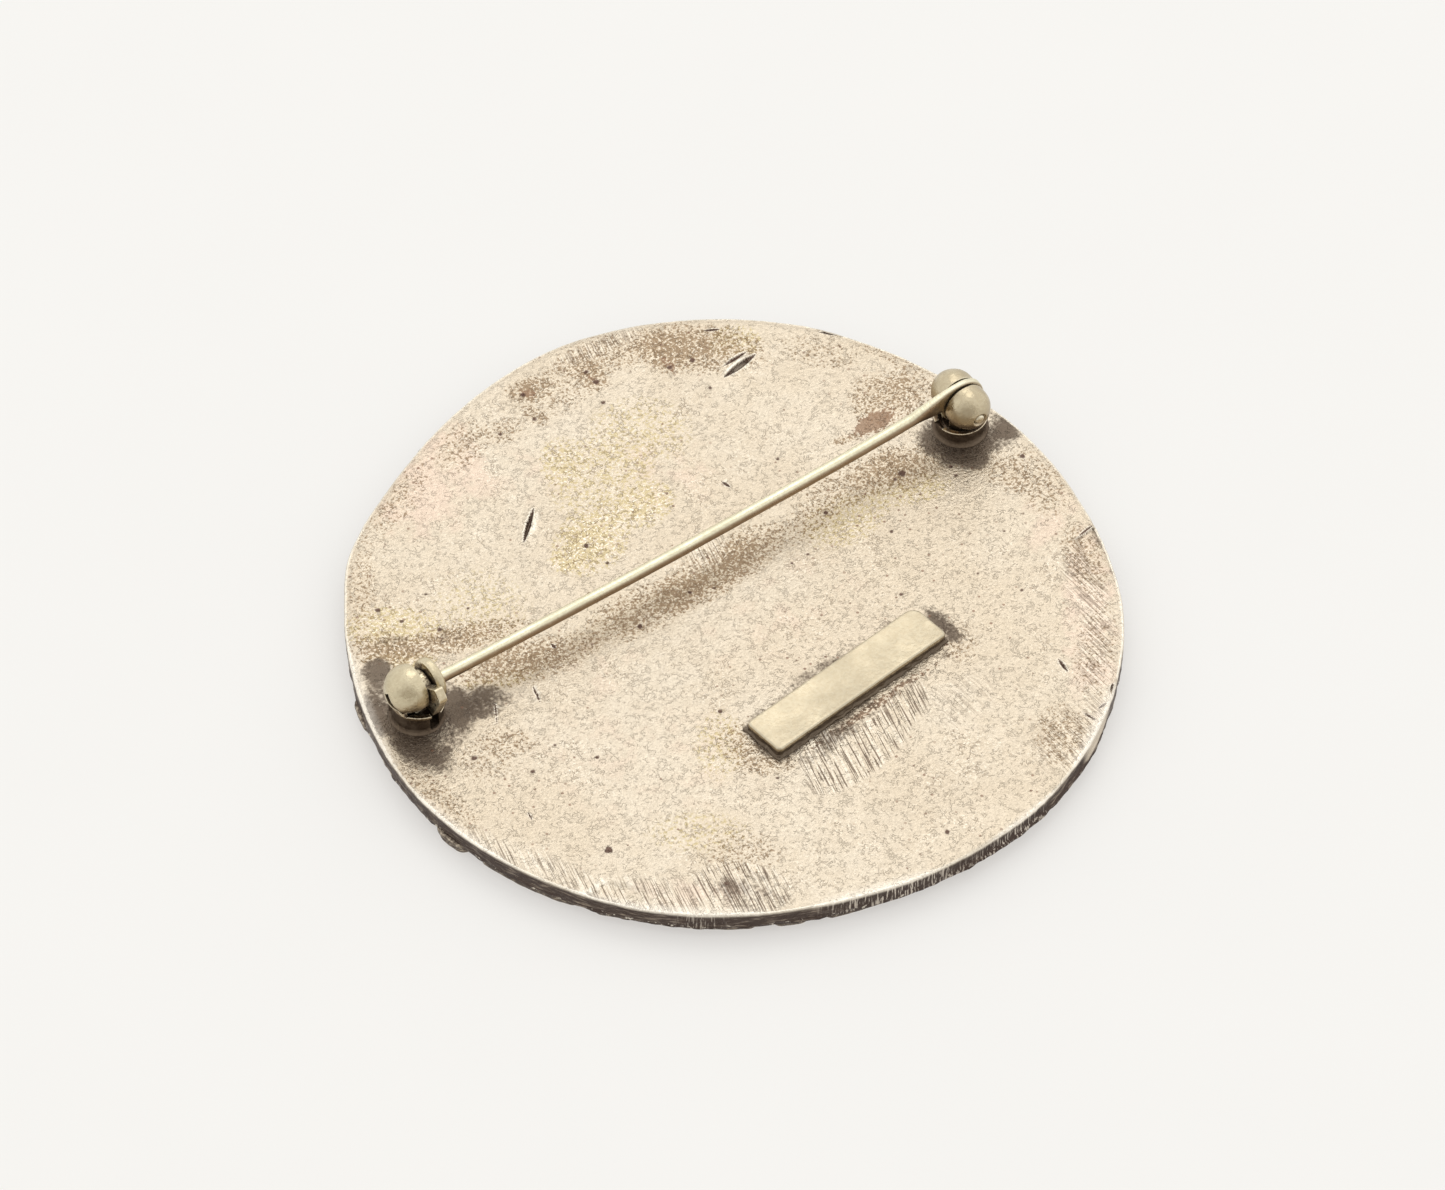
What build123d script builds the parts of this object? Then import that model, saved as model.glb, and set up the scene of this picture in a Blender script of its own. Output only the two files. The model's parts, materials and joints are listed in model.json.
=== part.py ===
from build123d import *
import os
from collections import namedtuple
from math import cos, degrees, pi, radians, sin

# Disc brooch of cast silver, lying face down with its back up.
# Millimetres. +X runs along the pin from the catch to the hinge, +Z is up.
# Heights on the back are measured from the back face of the plate.

# Plate
disc_radius = 25.0
plate_thickness = 1.4
rim_bevel = 0.25

# Raised border and resting ring on the front
relief_height = 0.8
border_inset = 1.5
border_shift = 0.6
border_shift_bearing = 165.0
first_lobe_bearing = 166.1
lobe_width = 2.0
long_lobe_run = 5.9
short_lobe_run = 0.95
short_lobe_overhang = 0.32
lobe_seat = 0.2
lobe_gap = 0.25
lobe_rounding = 0.35
rest_ring_inset = 4.8
rest_ring_width = 1.0

# Blank tablet
tablet_length = 14.5
tablet_width = 3.65
tablet_thickness = 0.8
tablet_corner = 0.35
tablet_bevel = 0.2
tablet_turn = 7.5
tablet_x = 0.096 * disc_radius
tablet_y = -0.376 * disc_radius

# Round collar that carries the hinge, and a like one that carries the catch
collar_height = 1.3
collar_radius = 1.6
lip_radius = 1.79
lip_height = 0.35
cup_wall = 0.08
cup_depth = 0.3
neck_radius = 1.25

# Line of the pin
pin_line_y = 4.6
pin_height = 2.45
hinge_inset = 4.1
catch_inset = 3.6

# Pin
wire_diameter = 0.8
tip_length = 3.4
tip_diameter = 0.24
eye_radius = 1.6
eye_thickness = 0.45
eye_lift = 0.3
eye_neck_height = 1.35
eye_neck_share = 0.8
flat_length = 2.4

# Hinge
ear_radius = 1.47
ear_spacing = 1.6
slot_side_gap = 0.075
eye_floor_gap = 0.2
rivet_diameter = 0.7
rivet_eye_gap = 0.05
rivet_ear_gap = 0.02
rivet_end_rounding = 0.12

# Catch housing
dome_radius = 1.66
dome_lift = 0.5
dome_offset = 0.57
dome_beyond_centre = 0.51
ring_radius = 1.47
ring_lift = 0.35
ring_length = 0.73
ring_rounding = 0.25
post_depth = 1.0
post_gap = 0.35
slit_floor = 0.1

# Catch rotor
rotor_radius = 1.15
rotor_thickness = 0.6
rotor_side_gap = 0.08
rotor_rim_gap = 0.15
hub_radius = 0.85
hub_running_gap = 0.05
dome_hub_length = 0.4
ring_hub_length = 0.55
hub_end_gap = 0.1
pin_bore_gap = 0.1
rotor_gap_margin = 0.05
rotor_gap_angle = -110.0
lever_reach = 1.75
lever_rounding = 0.2

# The rim as filed by hand: its distance from the centre, as a share of disc_radius
RimPoint = namedtuple("RimPoint", "bearing share")
RIM = [
    RimPoint(5, 0.963),
    RimPoint(25, 0.966),
    RimPoint(45, 0.990),
    RimPoint(65, 1.004),
    RimPoint(83, 1.011),
    RimPoint(92, 1.000),
    RimPoint(110, 0.983),
    RimPoint(121, 0.986),
    RimPoint(135, 1.009),
    RimPoint(146, 0.999),
    RimPoint(165, 1.000),
    RimPoint(185, 1.010),
    RimPoint(205, 1.006),
    RimPoint(225, 1.004),
    RimPoint(245, 0.990),
    RimPoint(256, 0.988),
    RimPoint(275, 1.000),
    RimPoint(290, 1.008),
    RimPoint(305, 1.005),
    RimPoint(325, 0.997),
    RimPoint(345, 0.970),
]

# Dents cut in the back: place and length as shares of disc_radius, depth as a share of the plate
Dent = namedtuple("Dent", "x y length depth turn")
DENTS = [
    Dent(0.484, 0.676, 0.112, 0.16, 8.0),
    Dent(0.470, 0.712, 0.080, 0.10, 8.0),
    Dent(-0.270, 0.540, 0.130, 0.13, 46.0),
    Dent(0.655, 0.745, 0.055, 0.08, -34.0),
    Dent(0.715, -0.325, 0.045, 0.10, -80.0),
    Dent(0.660, -0.768, 0.040, 0.25, 40.0),
    Dent(-0.708, -0.460, 0.030, 0.10, 20.0),
]

# Height of a dent's axis above the back, as a share of the dent's depth
dent_rise = 0.3

# Lever of the rotor: corners round its axis, their angles from the mouth's side upwards and
# their reach beyond the rotor's rim as a share of lever_reach
LeverCorner = namedtuple("LeverCorner", "angle reach")
LEVER = [
    LeverCorner(-38, -0.13),
    LeverCorner(-28, 0.48),
    LeverCorner(13, 0.75),
    LeverCorner(25, 1.00),
    LeverCorner(43, 0.94),
    LeverCorner(52, -0.13),
]

# Step filed in the rim: place as a share of disc_radius, depth as a share of the plate
step_x = 0.925
step_y = -0.310
step_length = 0.085
step_depth = 0.12
step_turn = -70.0

back_face = relief_height + plate_thickness
slot_width = wire_diameter + 2 * slot_side_gap
rivet_height = pin_height + eye_lift
hinge_x = disc_radius - hinge_inset
catch_x = catch_inset - disc_radius
dome_x = catch_x - dome_offset
slit_width = rotor_thickness + 2 * rotor_side_gap
slit_start = dome_x + dome_beyond_centre
slit_end = slit_start + slit_width
rotor_x = (slit_start + slit_end) / 2
wire_radius = wire_diameter / 2
hub_bore = hub_radius + hub_running_gap
overcut = 1.0
# The largest bevel or rounding, as a share of the wall that it is on
edge_share = 0.4


def solid_of(shape):
    return shape.solids().sort_by(SortBy.VOLUME)[-1]


def rim_point(row):
    reach = disc_radius * row.share
    angle = radians(row.bearing)
    return (reach * cos(angle), reach * sin(angle))


def make_plate():
    rim = Spline([rim_point(row) for row in RIM], periodic=True)
    blank = extrude(Face(Wire([rim])), plate_thickness).moved(Location((0, 0, relief_height)))
    back_edges = blank.faces().sort_by(Axis.Z)[-1].edges()
    return chamfer(back_edges, min(rim_bevel, edge_share * plate_thickness))


def border_centre():
    angle = radians(border_shift_bearing)
    return (border_shift * cos(angle), border_shift * sin(angle))


def lobe(radius, start, run):
    centre_line = CenterArc((0, 0), radius, start, degrees(run / radius))
    body = extrude(SlotArc(centre_line, lobe_width), relief_height + lobe_seat)
    rounding = min(lobe_rounding, edge_share * relief_height, edge_share * lobe_width)
    return fillet(body.faces().sort_by(Axis.Z)[0].edges(), rounding)


def make_border():
    radius = disc_radius - border_inset
    turn = degrees((lobe_width + lobe_gap) / radius)
    pair_run = long_lobe_run + short_lobe_run + 2 * (lobe_width + lobe_gap)
    pairs = round(2 * pi * radius / pair_run)
    pair_turn = 360 / pairs
    long_run = long_lobe_run + radians(pair_turn) * radius - pair_run
    x, y = border_centre()
    lobes = []
    for index in range(pairs):
        start = first_lobe_bearing + index * pair_turn + turn / 2
        lobes.append(lobe(radius, start, long_run))
        short_start = start + degrees(long_run / radius) + turn
        lobes.append(lobe(radius + short_lobe_overhang, short_start, short_lobe_run))
    return [piece.moved(Location((x, y, 0))) for piece in lobes]


def make_rest_ring():
    radius = disc_radius - rest_ring_inset
    section = Circle(radius + rest_ring_width / 2) - Circle(radius - rest_ring_width / 2)
    x, y = border_centre()
    return extrude(section, relief_height).moved(Location((x, y, 0)))


def make_dent(row):
    # Two cones, point outwards, with their axis a little above the back
    depth = row.depth * plate_thickness
    rise = dent_rise * depth
    half_length = row.length * disc_radius / 2 * (depth + rise) / depth
    half = Cone(depth + rise, 0, half_length, align=(Align.CENTER, Align.CENTER, Align.MIN))
    cutter = Rotation(0, 90, 0) * half + Rotation(0, -90, 0) * half
    place = Location((row.x * disc_radius, row.y * disc_radius, back_face + rise), (0, 0, row.turn))
    return cutter.moved(place)


def make_rim_step():
    depth = 2 * step_depth * plate_thickness
    place = Location((step_x * disc_radius, step_y * disc_radius, back_face), (0, 0, step_turn))
    return Box(step_length * disc_radius, step_length * disc_radius, depth).moved(place)


def make_tablet():
    body = extrude(RectangleRounded(tablet_length, tablet_width, tablet_corner), tablet_thickness)
    top_edges = body.faces().sort_by(Axis.Z)[-1].edges()
    bevel = min(tablet_bevel, edge_share * tablet_thickness, 2 * edge_share * tablet_corner)
    body = chamfer(top_edges, bevel)
    return body.moved(Location((tablet_x, tablet_y, back_face), (0, 0, tablet_turn)))


def make_collar(x):
    lip_start = collar_height - lip_height
    cup_radius = collar_radius - cup_wall
    profile = Polygon(
        (0, 0),
        (collar_radius, 0),
        (collar_radius, lip_start),
        (lip_radius, lip_start + lip_height / 2),
        (lip_radius, collar_height),
        (cup_radius, collar_height),
        (cup_radius, collar_height - cup_depth),
        (0, collar_height - cup_depth),
        align=None,
    )
    return revolve(Plane.XZ * profile, Axis.Z).moved(Location((x, pin_line_y, back_face)))


def along_x(radius, start, length, height):
    place = Location((start, pin_line_y, back_face + height), (0, 90, 0))
    return Cylinder(radius, length, align=(Align.CENTER, Align.CENTER, Align.MIN)).moved(place)


def across_x(x, height):
    return Plane((x, pin_line_y, back_face + height), x_dir=(0, 1, 0), z_dir=(1, 0, 0))


def along_y(radius, length, height):
    place = Location((hinge_x, pin_line_y, back_face + height), (90, 0, 0))
    return Cylinder(radius, length).moved(place)


def block(x, y, z):
    # A box from its low and high ends along each axis, heights from the back face
    size = (x[1] - x[0], y[1] - y[0], z[1] - z[0])
    corner = Location((x[0], pin_line_y + y[0], back_face + z[0]))
    return Box(*size, align=(Align.MIN, Align.MIN, Align.MIN)).moved(corner)


def make_ears():
    # A capsule along Y, which the slot then parts into two ball ears
    length = ear_spacing + 2 * ear_radius
    upper_half = Rectangle(length, ear_radius, align=(Align.CENTER, Align.MIN))
    profile = SlotOverall(length, 2 * ear_radius) & upper_half
    place = Location((hinge_x, pin_line_y, back_face + rivet_height), (0, 0, 90))
    return revolve(profile, Axis.X).moved(place)


def make_hinge():
    neck = Cylinder(neck_radius, rivet_height, align=(Align.CENTER, Align.CENTER, Align.MIN))
    body = make_collar(hinge_x) + make_ears() + neck.moved(Location((hinge_x, pin_line_y, back_face)))
    slot_floor = rivet_height - eye_radius - eye_floor_gap
    reach = max(eye_radius, lip_radius) + overcut
    slot = block(
        (hinge_x - reach, hinge_x + reach),
        (-slot_width / 2, slot_width / 2),
        (slot_floor, rivet_height + reach),
    )
    rivet_hole = along_y(rivet_diameter / 2 + rivet_ear_gap, 2 * reach + ear_spacing, rivet_height)
    return body - slot - rivet_hole


def make_housing():
    # Ball and ring of the catch, on a post that stands in the collar on the far side of the mouth
    dome_height = pin_height + dome_lift
    ring_height = pin_height + ring_lift
    # The ball's poles are turned into the slit and the mouth, which cut them away
    ball = Rotation(0, 45, 0) * Sphere(dome_radius)
    dome = ball.moved(Location((dome_x, pin_line_y, back_face + dome_height)))
    dome = dome - block(
        (slit_start, slit_start + 2 * dome_radius),
        (-2 * dome_radius, 2 * dome_radius),
        (0, dome_height + 2 * dome_radius),
    )
    ring = along_x(ring_radius, slit_end, ring_length, ring_height)
    ring = fillet(ring.edges().filter_by(GeomType.CIRCLE), min(ring_rounding, edge_share * ring_length))
    post = block(
        (slit_start - neck_radius, slit_end + ring_length),
        (post_gap, post_gap + post_depth),
        (0, ring_height),
    )
    within = Cylinder(collar_radius, ring_height, align=(Align.CENTER, Align.CENTER, Align.MIN))
    post = post & within.moved(Location((catch_x, pin_line_y, back_face)))
    return make_collar(catch_x) + dome + ring + post


def make_catch():
    reach = dome_radius + dome_lift + overcut
    mouth = block(
        (dome_x - reach, slit_end + reach),
        (-reach, post_gap),
        (collar_height - cup_depth, pin_height),
    )
    hub_start = slit_start - dome_hub_length - hub_end_gap
    hub_bore_cut = along_x(hub_bore, hub_start, reach + dome_radius, pin_height)
    tip_bore = along_x(
        wire_radius + pin_bore_gap, pin_tip_x() - hub_end_gap, 2 * reach, pin_height
    )
    slit_x = (slit_start, slit_end)
    slit_low = block(slit_x, (-reach, 0), (slit_floor, pin_height))
    slit_high = block(slit_x, (-reach, reach), (pin_height, pin_height + 2 * reach))
    slit_round = along_x(rotor_radius + rotor_rim_gap, slit_start, slit_width, pin_height)
    return make_housing() - mouth - hub_bore_cut - tip_bore - slit_low - slit_high - slit_round


def pin_tip_x():
    return dome_x - dome_radius / 2


def make_disc():
    body = make_plate()
    for piece in make_border() + [make_rest_ring()]:
        body = body + piece
    for row in DENTS:
        body = body - make_dent(row)
    body = body - make_rim_step()
    return solid_of(body + make_tablet() + make_hinge() + make_catch())


def make_rivet():
    length = ear_spacing + 2 * ear_radius
    body = along_y(rivet_diameter / 2, length, rivet_height)
    ends = body.edges().filter_by(GeomType.CIRCLE)
    return solid_of(fillet(ends, min(rivet_end_rounding, edge_share * rivet_diameter)))


def make_pin():
    eye = along_y(eye_radius, eye_thickness, rivet_height)
    # The wire is hammered flat where it meets the eye
    flat_end = hinge_x - eye_neck_share * eye_radius
    flat_start = flat_end - flat_length
    flattened = loft(
        [
            across_x(flat_start, pin_height) * Circle(wire_radius),
            across_x(flat_end, pin_height + eye_lift / 2) * Ellipse(eye_thickness / 2, eye_neck_height / 2),
        ]
    )
    tip_x = pin_tip_x()
    stem = along_x(wire_radius, tip_x + tip_length, flat_start - tip_x - tip_length, pin_height)
    tip = Cone(wire_radius, tip_diameter / 2, tip_length, align=(Align.CENTER, Align.CENTER, Align.MIN))
    place = Location((tip_x + tip_length, pin_line_y, back_face + pin_height), (0, -90, 0))
    hole = along_y(rivet_diameter / 2 + rivet_eye_gap, 2 * eye_radius, rivet_height)
    return solid_of(stem + tip.moved(place) + flattened + eye - hole)


def lever_point(corner):
    angle = radians(corner.angle)
    reach = rotor_radius + corner.reach * lever_reach
    return (-reach * cos(angle), reach * sin(angle))


def make_rotor():
    rotor_start = slit_start + rotor_side_gap
    outline = Polygon(*[lever_point(corner) for corner in LEVER], align=None)
    rounded = fillet(outline.vertices(), min(lever_rounding, edge_share * lever_reach))
    lever = extrude(across_x(rotor_start, pin_height) * rounded, rotor_thickness, dir=(1, 0, 0))
    body = along_x(rotor_radius, rotor_start, rotor_thickness, pin_height) + lever
    hub_start = rotor_start - dome_hub_length
    hub_length = dome_hub_length + rotor_thickness + ring_hub_length
    body = body + along_x(hub_radius, hub_start, hub_length, pin_height)
    bore = along_x(wire_radius + pin_bore_gap, hub_start - overcut, hub_length + 2 * overcut, pin_height)
    gap_width = wire_diameter + 2 * rotor_gap_margin
    gap = Box(
        hub_length + 2 * overcut,
        2 * rotor_radius,
        gap_width,
        align=(Align.MIN, Align.MAX, Align.CENTER),
    )
    place = Location((hub_start - overcut, pin_line_y, back_face + pin_height), (-rotor_gap_angle, 0, 0))
    return solid_of(body - bore - gap.moved(place))


def main():
    os.makedirs("parts", exist_ok=True)
    nodes = {
        "disc": make_disc(),
        "hinge_rivet": make_rivet(),
        "pin_stem": make_pin(),
        "catch_rotor": make_rotor(),
    }
    # The origin is the middle of the whole brooch's box, on the surface it lies on
    box = Compound(list(nodes.values())).bounding_box()
    middle = box.center()
    shift = Location((-middle.X, -middle.Y, -box.min.Z))
    for name, solid in nodes.items():
        export_step(solid.moved(shift), f"parts/{name}.step")
    ring_x, ring_y = border_centre()
    y = pin_line_y - middle.Y
    print("pin hinge at", hinge_x - middle.X, y, back_face + rivet_height)
    print("rotor axis at", rotor_x - middle.X, y, back_face + pin_height)
    print("rest ring at", ring_x - middle.X, ring_y - middle.Y, "radius", disc_radius - rest_ring_inset)


main()
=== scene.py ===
import json
from collections import namedtuple
from math import atan2, copysign, cos, degrees, exp, hypot, pi, radians, sin, sqrt

import bmesh
import bpy
import numpy as np
from mathutils import Matrix, Vector, bvhtree, kdtree, noise


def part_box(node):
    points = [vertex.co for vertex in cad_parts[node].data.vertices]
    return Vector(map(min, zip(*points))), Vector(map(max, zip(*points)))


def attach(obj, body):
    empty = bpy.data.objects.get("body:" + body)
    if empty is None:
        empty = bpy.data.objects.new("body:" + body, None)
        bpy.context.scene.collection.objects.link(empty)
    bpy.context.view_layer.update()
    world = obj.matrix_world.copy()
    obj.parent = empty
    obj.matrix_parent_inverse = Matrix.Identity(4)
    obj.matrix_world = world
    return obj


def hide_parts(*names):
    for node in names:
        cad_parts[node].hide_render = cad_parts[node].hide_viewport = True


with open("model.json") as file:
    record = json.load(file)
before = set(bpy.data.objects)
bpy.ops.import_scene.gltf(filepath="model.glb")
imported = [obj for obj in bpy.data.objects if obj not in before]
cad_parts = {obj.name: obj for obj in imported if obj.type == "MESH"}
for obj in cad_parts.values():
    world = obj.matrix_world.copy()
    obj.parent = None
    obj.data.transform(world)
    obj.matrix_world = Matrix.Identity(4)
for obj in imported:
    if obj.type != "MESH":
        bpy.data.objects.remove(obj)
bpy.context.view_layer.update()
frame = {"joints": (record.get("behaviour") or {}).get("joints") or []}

# Disc brooch of cast silver, lying face down with its back up.
# Shapes are made in millimetres, in the frame's own axes, and scaled to metres when they are finished.
METRE = 0.001
merge_gap = 1e-5

# The cast disc: bearings are in degrees round it from +X, and shares are of its radius
disc_radius = 25.0
plate_thickness = 1.4
relief_height = 0.8
back_face = relief_height + plate_thickness
rim_bevel = 0.18
rim_corner = 0.12
flat_share = 0.9
disc_steps = 600
cast_lip = 0.22
cast_lip_rise = 0.25
cast_lip_width = 0.22
cast_lip_hollow = 0.06
cast_lip_bearings = ((266, 272), (300, 308))
rim_roll = 0.05
rim_roll_shares = (0.982, 1.0)
filed_step = 0.17
filed_step_shares = (0.925, 0.95)
filed_step_fade = ((0.0, 0.1), (1.0, 6.0))

# Raised border and resting ring on the front
border_inset = 1.5
border_shift = 0.6
border_shift_bearing = 165.0
first_lobe_bearing = 166.1
lobe_width = 2.0
lobe_gap = 0.25
long_lobe_run = 5.9
short_lobe_run = 0.95
short_lobe_overhang = 0.32
border_tuck = 0.15
border_tuck_bearings = ((205, 222), (330, 350))
left_tuck = 0.26
left_tuck_bearings = ((130, 148), (176, 186))
lobe_seat = 0.2
lobe_step = 0.3
rest_ring_inset = 4.8
rest_ring_width = 1.0
rest_ring_rounding = 0.3

# Blank tablet
tablet_length = 14.5
tablet_width = 3.15
tablet_thickness = 0.8
tablet_corner = 0.35
tablet_bevel = 0.16
tablet_worn_corner = 0.8
tablet_seat = 0.3
tablet_solder = 0.16
tablet_grain = 0.055
tablet_turn = 7.5
tablet_place = (0.0979 * disc_radius, -0.3615 * disc_radius)

# Collars of the two soldered fittings
fitting_grain = 0.04
collar_height = 1.3
collar_seat = 0.3
collar_radius = 1.6
lip_radius = 1.79
lip_height = 0.35
cup_wall = 0.13
cup_depth = 0.42
neck_radius = 1.25
neck_seat = 0.2

# Pin and hinge: the pin's flat blade begins flat_length before the rivet
pin_line_y = 4.6
hinge_inset = 4.1
wire_radius = 0.4
tip_length = 3.4
tip_radius = 0.12
eye_radius = 1.6
eye_half_width = 0.27
eye_gap = 0.2
eye_fit = 0.05
flat_length = 3.9
flat_end_run = 1.2
flat_top_run = 0.6
stem_rise = 0.024
stem_bow = 0.55
stem_sway = 0.03
blade_depth = 0.35
round_power = 2.0
flat_power = 4.5
ear_radius = 1.47
ear_spacing = 1.6
slot_half_width = 0.36
rivet_radius = 0.35
rivet_depth = 0.16
rivet_fit = 0.02
countersink = 0.13

# Catch: its ball, the dome, and its ring stand on either side of the rotor's slit
dome_radius = 1.66
dome_lift = 0.5
dome_beyond_centre = 0.51
collar_beyond_dome = 0.57
ring_radius = 1.47
ring_lift = 0.35
ring_length = 0.73
ring_rounding = 0.22
mouth_height = 0.75
mouth_run = 1.0
catch_lip_rise = 0.5
post_depth = 1.0
post_gap = 0.35
rotor_radius = 1.15
rotor_thickness = 0.6
rotor_side_gap = 0.08
rotor_rim_gap = 0.15
rotor_grain = 0.032
hub_radius = 0.85
hub_bore = 0.9
pin_bore = 0.5
dome_hub_length = 0.4
ring_hub_length = 0.55
lever_reach = 1.75
lever_rounding = 0.16
rotor_gap_turn = 110.0
rotor_gap_play = 0.05
tip_slot_tilt = 47.0
tip_slot_side = (-1.9, 0.1)
tip_slot_width = 0.62
tip_slot_lift = 0.35

# Places taken from the frame
joint_places = {joint["name"]: Vector(joint["pos_m"]) / METRE for joint in frame["joints"]}
hinge = joint_places["pin_hinge"]
rotor_axis = joint_places["catch_rotor"]
pin_y = hinge.y
plate_x = hinge.x - (disc_radius - hinge_inset)
plate_y = pin_y - pin_line_y
slit_half_width = rotor_thickness / 2 + rotor_side_gap
dome_x = rotor_axis.x - slit_half_width - dome_beyond_centre
catch_x = dome_x + collar_beyond_dome
ring_x = plate_x + border_shift * cos(radians(border_shift_bearing))
ring_y = plate_y + border_shift * sin(radians(border_shift_bearing))

# The photograph's frame: the disc's back is an ellipse in it, and photo_scale is in pixels to the mm
photo_width = 1445
photo_height = 1190
photo_disc_across = 734.5
photo_disc_down = 613.0
photo_scale = 15.62
photo_elevation = 50.0
photo_azimuth = -34.7
photo_filed_step = (1080, 536)
camera_lens = 500.0
camera_sensor = 36.0
nearest_seen = 0.01

# The table and the light, in metres
floor_half = 1.5
table_glow = 0.51
table_glow_colour = (1.0, 0.965, 0.935)
lamp_place = (0.24, 0.26, 0.6)
lamp_size = 0.5
lamp_power = 0.55
lamp_colour = (1.0, 0.985, 0.96)
tent_strength = 1.14
tent_white = (1.0, 0.995, 0.98, 1)
room_dim = (0.52, 0.49, 0.45, 1)
room_tilt = 5.0
tent_end = 0.3
room_start = 0.9

# Heights under the floor, in mm, for a finish whose low darkening or painted shade is nowhere
below_all = (-1.0, -0.5)


def rows_of(kind, *rows):
    """A table's rows, with a name for each column"""
    return [kind(*row) for row in rows]


# The rim's distance from the centre by bearing, as a share of disc_radius
RimPoint = namedtuple("RimPoint", "bearing share")
RIM = rows_of(
    RimPoint,
    (5, 0.963), (25, 0.966), (45, 0.990), (65, 1.004), (83, 1.011), (92, 1.000), (110, 0.983),
    (121, 0.986), (135, 1.009), (146, 0.999), (165, 1.000), (185, 1.010), (205, 1.006), (225, 1.004),
    (245, 0.990), (256, 0.988), (275, 1.000), (290, 1.008), (305, 1.005), (325, 0.997), (345, 0.970),
)

# Gouges in the back, in the photograph's pixels: middle, half length, half width, turn and depth in mm
Gouge = namedtuple("Gouge", "across down length width turn depth")
GOUGES = rows_of(
    Gouge,
    (740, 363.5, 21, 3.3, -36, 0.30), (735, 356.5, 15, 1.7, -32, 0.12),
    (1087, 530, 11, 1.2, -38, 0.05), (1113, 690, 8, 4.4, 74, 0.24), (528, 525, 20, 2.5, -74, 0.26),
    (829, 330, 11, 1.3, 9, 0.10), (537, 693, 10, 1.3, 66, 0.10), (726, 484, 6, 1.4, 32, 0.08),
    (1062, 665, 9, 1.8, 54, 0.12), (1088, 716, 8, 1.2, 30, 0.05), (1101, 705, 6, 1.2, -35, 0.04),
    (497, 712, 14, 0.9, 84, 0.05), (554, 646, 3, 1.6, 50, 0.08), (532, 814, 5, 1.0, 60, 0.05),
    (712, 327, 9, 1.2, -6, 0.07),
)

# Pits in the back, in the photograph's pixels: middle and half size
Pit = namedtuple("Pit", "across down size")
PITS = rows_of(
    Pit,
    (610, 847, 4.6), (720, 711, 3.0), (534, 770, 2.9), (598, 756, 2.8), (476, 757, 3.4),
    (556, 744, 2.2), (402, 621, 2.8), (378, 610, 3.2), (602, 401, 2.8), (901, 594, 2.6),
    (892, 531, 2.5), (826, 512, 2.8), (778, 458, 2.3), (903, 473, 4.4), (896, 479, 2.4),
    (945, 830, 3.2), (1022, 590, 2.3), (710, 386, 2.3), (586, 546, 3.2), (607, 563, 2.4),
    (426, 594, 2.0), (690, 592, 2.6), (714, 588, 2.2), (727, 880, 3.2), (468, 608, 2.2),
    (440, 629, 3.0), (640, 626, 3.4), (585, 370, 3.0), (595, 380, 3.2), (669, 365, 3.0),
    (692, 358, 3.4), (521, 393, 3.0), (533, 418, 2.8), (499, 433, 2.6), (1024, 455, 3.2),
    (1005, 531, 2.0), (978, 573, 2.0), (808, 554, 2.2), (792, 563, 2.2), (952, 466, 2.6),
    (957, 475, 2.6), (777, 777, 2.2),
)

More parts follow.
